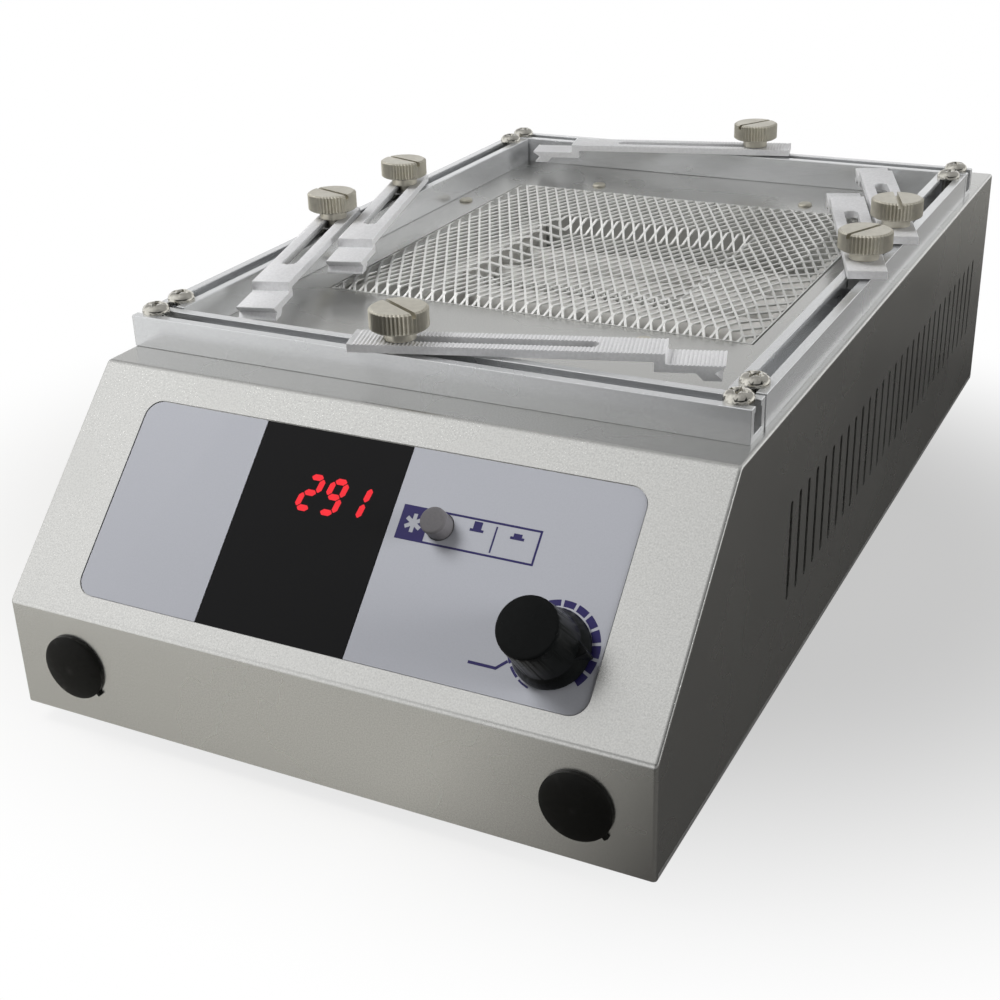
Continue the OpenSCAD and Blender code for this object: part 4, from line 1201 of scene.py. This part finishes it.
class PREHEATER_OT_clamps(bpy.types.Operator):
    """Clamp arms, thumb screws, washers and slide nuts"""

    bl_idname = "preheater.clamps"
    bl_label = "Clamps"
    bl_options = {"REGISTER", "UNDO"}

    driver_turns = {
        "front": -30, "rear": 60, "left_front": -19, "left_rear": -19, "right_front": 65, "right_rear": 110,
    }

    def execute(self, context):
        pattern = self.thumb_screw()
        for name, turn in self.driver_turns.items():
            softened(name + "_arm", arm_metal(), sizes().small_edge)
            screw = copy_piece(pattern, name + "_thumb_screw_piece")
            lo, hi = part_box(name + "_thumb_screw")
            screw.rotation_euler = (0, 0, math.radians(turn))
            screw.location = ((lo.x + hi.x) / 2, (lo.y + hi.y) / 2, hi.z)
            stand_for(settle(screw), name + "_thumb_screw", nickel())
            dress(name + "_washer", zinc())
            dress(name + "_nut", zinc())
        remove(pattern)
        return {"FINISHED"}

    def thumb_screw(self):
        """A knurled thumb screw whose top is at the origin."""
        s = sizes()
        lo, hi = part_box("front_thumb_screw")
        radius = (hi.x - lo.x) / 2
        teeth = 44
        edge = 0.5 * MM
        piece = drum(radius, s.thumb_h, 2 * teeth, location=(0, 0, -s.thumb_h / 2))
        for level in (-edge, edge - s.thumb_h):
            slice_at(piece, (0, 0, level), (0, 0, 1))
        between = (-s.thumb_h + edge / 2, -edge / 2)
        step = math.pi / teeth

        def valley(co):
            """Whether a vertex lies at the foot of the knurl, between the head's two rims."""
            place = round(math.atan2(co.y, co.x) / step)
            return between[0] < co.z < between[1] and place % 2 == 0

        select_where(piece, "VERT", valley)
        share = 1 - s.knurl_depth / radius
        bpy.ops.transform.resize(value=(share, share, 1))
        done()
        rim = 1 - (edge + s.knurl_depth * 0.6) / radius
        select_where(piece, "VERT", lambda co: not between[0] < co.z < between[1])
        bpy.ops.transform.resize(value=(rim, rim, 1))
        done()
        self.stem(piece, lo, hi, radius * rim)
        reach = 2 * radius
        carve(piece, block((-reach, -s.driver_w / 2, -s.driver_depth), (reach, s.driver_w / 2, MM)))
        return smooth(piece, 30)

    def stem(self, piece, lo, hi, foot_radius):
        """Neck and shank drawn down from the foot of the head."""
        s = sizes()
        shank_r = 2.0 * MM
        shank_h = (hi.z - lo.z) - s.thumb_h - s.neck_h
        start = foot_radius
        for radius, drop in ((s.neck_d / 2, s.neck_h), (shank_r, shank_h)):
            bottom = min(v.co.z for v in piece.data.vertices)
            select_where(piece, "FACE", lambda centre, normal: normal.z < -0.9 and centre.z < bottom + TINY)
            bpy.ops.mesh.inset(thickness=start - radius)
            bpy.ops.mesh.extrude_region_move(TRANSFORM_OT_translate={"value": (0, 0, -drop)})
            done()
            start = radius


class PREHEATER_OT_rear(bpy.types.Operator):
    """Mains inlet, power switch and rocker"""

    bl_idname = "preheater.rear"
    bl_label = "Rear fittings"
    bl_options = {"REGISTER", "UNDO"}

    def execute(self, context):
        for node in ("mains_inlet", "power_switch", "power_rocker"):
            softened(node, switch_plastic(), sizes().fitting_edge)
        return {"FINISHED"}


class PREHEATER_OT_inside(bpy.types.Operator):
    """Boards, posts, transformer, heat sink and display module"""

    bl_idname = "preheater.inside"
    bl_label = "Inside"
    bl_options = {"REGISTER", "UNDO"}

    def execute(self, context):
        finishes = {
            "control_board": board_mask(), "power_board": board_mask(), "board_standoffs": zinc(),
            "transformer": laminations(), "heat_sink": reflector_metal(), "display_module": switch_plastic(),
        }
        for node, material in finishes.items():
            dress(node, material)
        return {"FINISHED"}


class PREHEATER_OT_stage(bpy.types.Operator):
    """Floor, world, lamps and camera"""

    bl_idname = "preheater.stage"
    bl_label = "Stage"
    bl_options = {"REGISTER", "UNDO"}

    def execute(self, context):
        context.scene.view_settings.view_transform = "Standard"
        self.floor()
        self.world(context.scene)
        self.lamps()
        self.camera(context.scene)
        return {"FINISHED"}

    def floor(self):
        """A pale sheet that keeps the object's shadow and runs out to white away from it.

        It has a painted shadow at the object's right: a dark tint where the object's shade falls, for the
        case's side to mirror.
        """
        lo = CAD_BOX[0]
        half = sizes().floor_half
        deselect()
        bpy.ops.mesh.primitive_plane_add(
            size=2 * half, location=(0, half + lo.y - sizes().floor_front, lo.z))
        floor = settle(bpy.context.object)
        floor.name = "floor"
        material = bpy.data.materials.new("pale_floor_painted_shadow")
        material.use_nodes = True
        graph = Graph(material.node_tree)
        surface = graph.nodes["Principled BSDF"]
        place = graph.add("ShaderNodeTexCoord").outputs["Object"]
        spot = graph.add("ShaderNodeSeparateXYZ", {0: place}).outputs
        # Painted shadow: the floor's tint goes dark to the right of the object, where its shade falls, and
        # fades out behind it.
        painted_shade_at_right = graph.ramp(spot["X"], (0.02, 0.09), (0.0, 1.0))
        not_behind = graph.ramp(spot["Y"], (0.30, 0.60), (1.0, 0.0))
        # dark is the tint of the painted shadow.
        pale, dark = (0.48, 0.47, 0.44), (0.09, 0.087, 0.082)
        tint = graph.shade(graph.times(painted_shade_at_right, not_behind), (pale, dark))
        for name, value in (("Base Color", tint), ("Roughness", 0.9), ("Specular IOR Level", 0.1)):
            graph.feed(surface.inputs[name], value)
        oval = graph.add("ShaderNodeVectorMath", {0: place, 1: (1.0, 1.25, 1.0)}, operation="MULTIPLY")
        away = graph.add("ShaderNodeVectorMath", {0: oval.outputs[0]}, operation="LENGTH").outputs["Value"]
        fade = graph.ramp(away, (0.12, 0.30), (0.55, 1.0), interpolation_type="SMOOTHSTEP")
        seen = graph.add("ShaderNodeLightPath").outputs["Is Camera Ray"]
        white = graph.add("ShaderNodeEmission").outputs[0]
        mix = graph.add("ShaderNodeMixShader", {
            "Fac": graph.times(seen, fade), 1: surface.outputs[0], 2: white})
        graph.feed(graph.nodes["Material Output"].inputs["Surface"], mix.outputs[0])
        floor.data.materials.append(material)

    def world(self, scene):
        """White behind the object, and a room for what the metal mirrors.

        The room has a ceiling and a band under it, which both dim to the right, a strip as bright as the
        ceiling at the band's foot, and at the rear a backdrop that is brightest low down.
        """
        world = bpy.data.worlds.new("studio")
        scene.world = world
        world.use_nodes = True
        graph = Graph(world.node_tree)
        background = graph.nodes["Background"].inputs
        way = graph.add(
            "ShaderNodeSeparateXYZ", {0: graph.add("ShaderNodeTexCoord").outputs["Generated"]}).outputs
        ceiling = graph.ramp(way["X"], (-0.70, 0.40), (1.15, 0.35))
        backdrop = graph.ramp(way["Z"], (0.20, 0.40), (1.10, 0.45))
        band = graph.ramp(way["X"], (-0.60, -0.20), (1.05, 0.0))
        behind = graph.ramp(way["Y"], (-0.25, 0.45), (0.0, 1.0))
        dip = graph.ramp(way["Z"], (-0.10, -0.25), (0.0, 1.0))
        under_ceiling = graph.ramp(way["Z"], (0.66, 0.50), (0.0, 1.0))
        over_strip = graph.ramp(way["Z"], (0.22, 0.32), (0.0, 1.0))
        front = graph.blend(graph.times(under_ceiling, over_strip), ceiling, band)
        above = graph.blend(behind, front, backdrop)
        room = graph.blend(dip, above, band)
        ambient = 0.12
        strength = graph.times(room, ambient)
        rays = graph.add("ShaderNodeLightPath").outputs
        for ray, level in (("Is Glossy Ray", room), ("Is Camera Ray", 1.0), ("Is Transmission Ray", 1.0)):
            strength = graph.blend(rays[ray], strength, level)
        graph.feed(background["Color"], (1, 1, 1, 1))
        graph.feed(background["Strength"], strength)

    def lamp(self, name, place, aim, side, power):
        """A square soft lamp that points at a place and isn't mirrored in the metal."""
        light = bpy.data.lights.new(name, "AREA")
        light.size = side
        light.energy = power
        lamp = bpy.data.objects.new(name, light)
        bpy.context.scene.collection.objects.link(lamp)
        lamp.location = place
        lamp.rotation_euler = (Vector(aim) - Vector(place)).to_track_quat("-Z", "Y").to_euler()
        lamp.visible_glossy = False
        lamp.visible_camera = False

    def lamps(self):
        """A soft key from the upper left, a lamp at the right and a weak fill from the front."""
        self.lamp("key", place=(-0.5, -0.25, 0.85), aim=(0, 0, 0.05), side=0.45, power=9)
        self.lamp("side", place=(1.0, -0.1, 0.26), aim=(0, 0, 0.09), side=0.4, power=13)
        self.lamp("fill", place=(-0.6, -1.7, 1.3), aim=(0, 0, 0.05), side=1.4, power=4)

    def camera(self, scene):
        """The photograph's viewpoint."""
        place = (0.1983, -0.4444, 0.2437)
        azimuth, elevation, roll = (math.radians(a) for a in (27.59, 25.66, -1.89))
        data = bpy.data.cameras.new("camera")
        data.lens = 56.0
        data.sensor_width = 36.0
        data.clip_start = 0.01
        camera = bpy.data.objects.new("camera", data)
        scene.collection.objects.link(camera)
        right = Vector((math.cos(azimuth), math.sin(azimuth), 0))
        ahead = Vector((-math.sin(azimuth), math.cos(azimuth), 0))
        back = -ahead * math.cos(elevation) + Vector((0, 0, math.sin(elevation)))
        up = back.cross(right)
        side = right * math.cos(roll) + up * math.sin(roll)
        top = up * math.cos(roll) - right * math.sin(roll)
        turn = Matrix((side, top, back)).transposed().to_4x4()
        camera.matrix_world = Matrix.Translation(place) @ turn
        scene.camera = camera


class PREHEATER_PT_panel(bpy.types.Panel):
    """Lists the preheater's groups of pieces"""

    bl_idname = "PREHEATER_PT_panel"
    bl_label = "Preheater"
    bl_space_type = "VIEW_3D"
    bl_region_type = "UI"
    bl_category = "Preheater"

    def draw(self, context):
        for operator in OPERATORS:
            self.layout.operator(operator.bl_idname)
        for group in (context.scene.preheater_sizes, context.scene.preheater_colours):
            for name in group.__annotations__:
                self.layout.prop(group, name)


OPERATORS = (
    PREHEATER_OT_case, PREHEATER_OT_label, PREHEATER_OT_controls, PREHEATER_OT_rails, PREHEATER_OT_guard,
    PREHEATER_OT_heater, PREHEATER_OT_clamps, PREHEATER_OT_rear, PREHEATER_OT_inside, PREHEATER_OT_stage,
)
CLASSES = (PreheaterSizes, PreheaterColours, *OPERATORS, PREHEATER_PT_panel)


def register():
    """Registers the classes and gives the scene its settings."""
    for cls in CLASSES:
        bpy.utils.register_class(cls)
    bpy.types.Scene.preheater_sizes = bpy.props.PointerProperty(type=PreheaterSizes)
    bpy.types.Scene.preheater_colours = bpy.props.PointerProperty(type=PreheaterColours)


def unregister():
    """Takes the settings and the classes away again."""
    del bpy.types.Scene.preheater_colours
    del bpy.types.Scene.preheater_sizes
    for cls in reversed(CLASSES):
        bpy.utils.unregister_class(cls)


def main():
    """Registers the classes, then builds every piece and the stage."""
    register()
    bpy.ops.preheater.case()
    bpy.ops.preheater.label()
    bpy.ops.preheater.controls()
    bpy.ops.preheater.rails()
    bpy.ops.preheater.guard()
    bpy.ops.preheater.heater()
    bpy.ops.preheater.clamps()
    bpy.ops.preheater.rear()
    bpy.ops.preheater.inside()
    bpy.ops.preheater.stage()
    deselect()


if __name__ == "__main__":
    main()
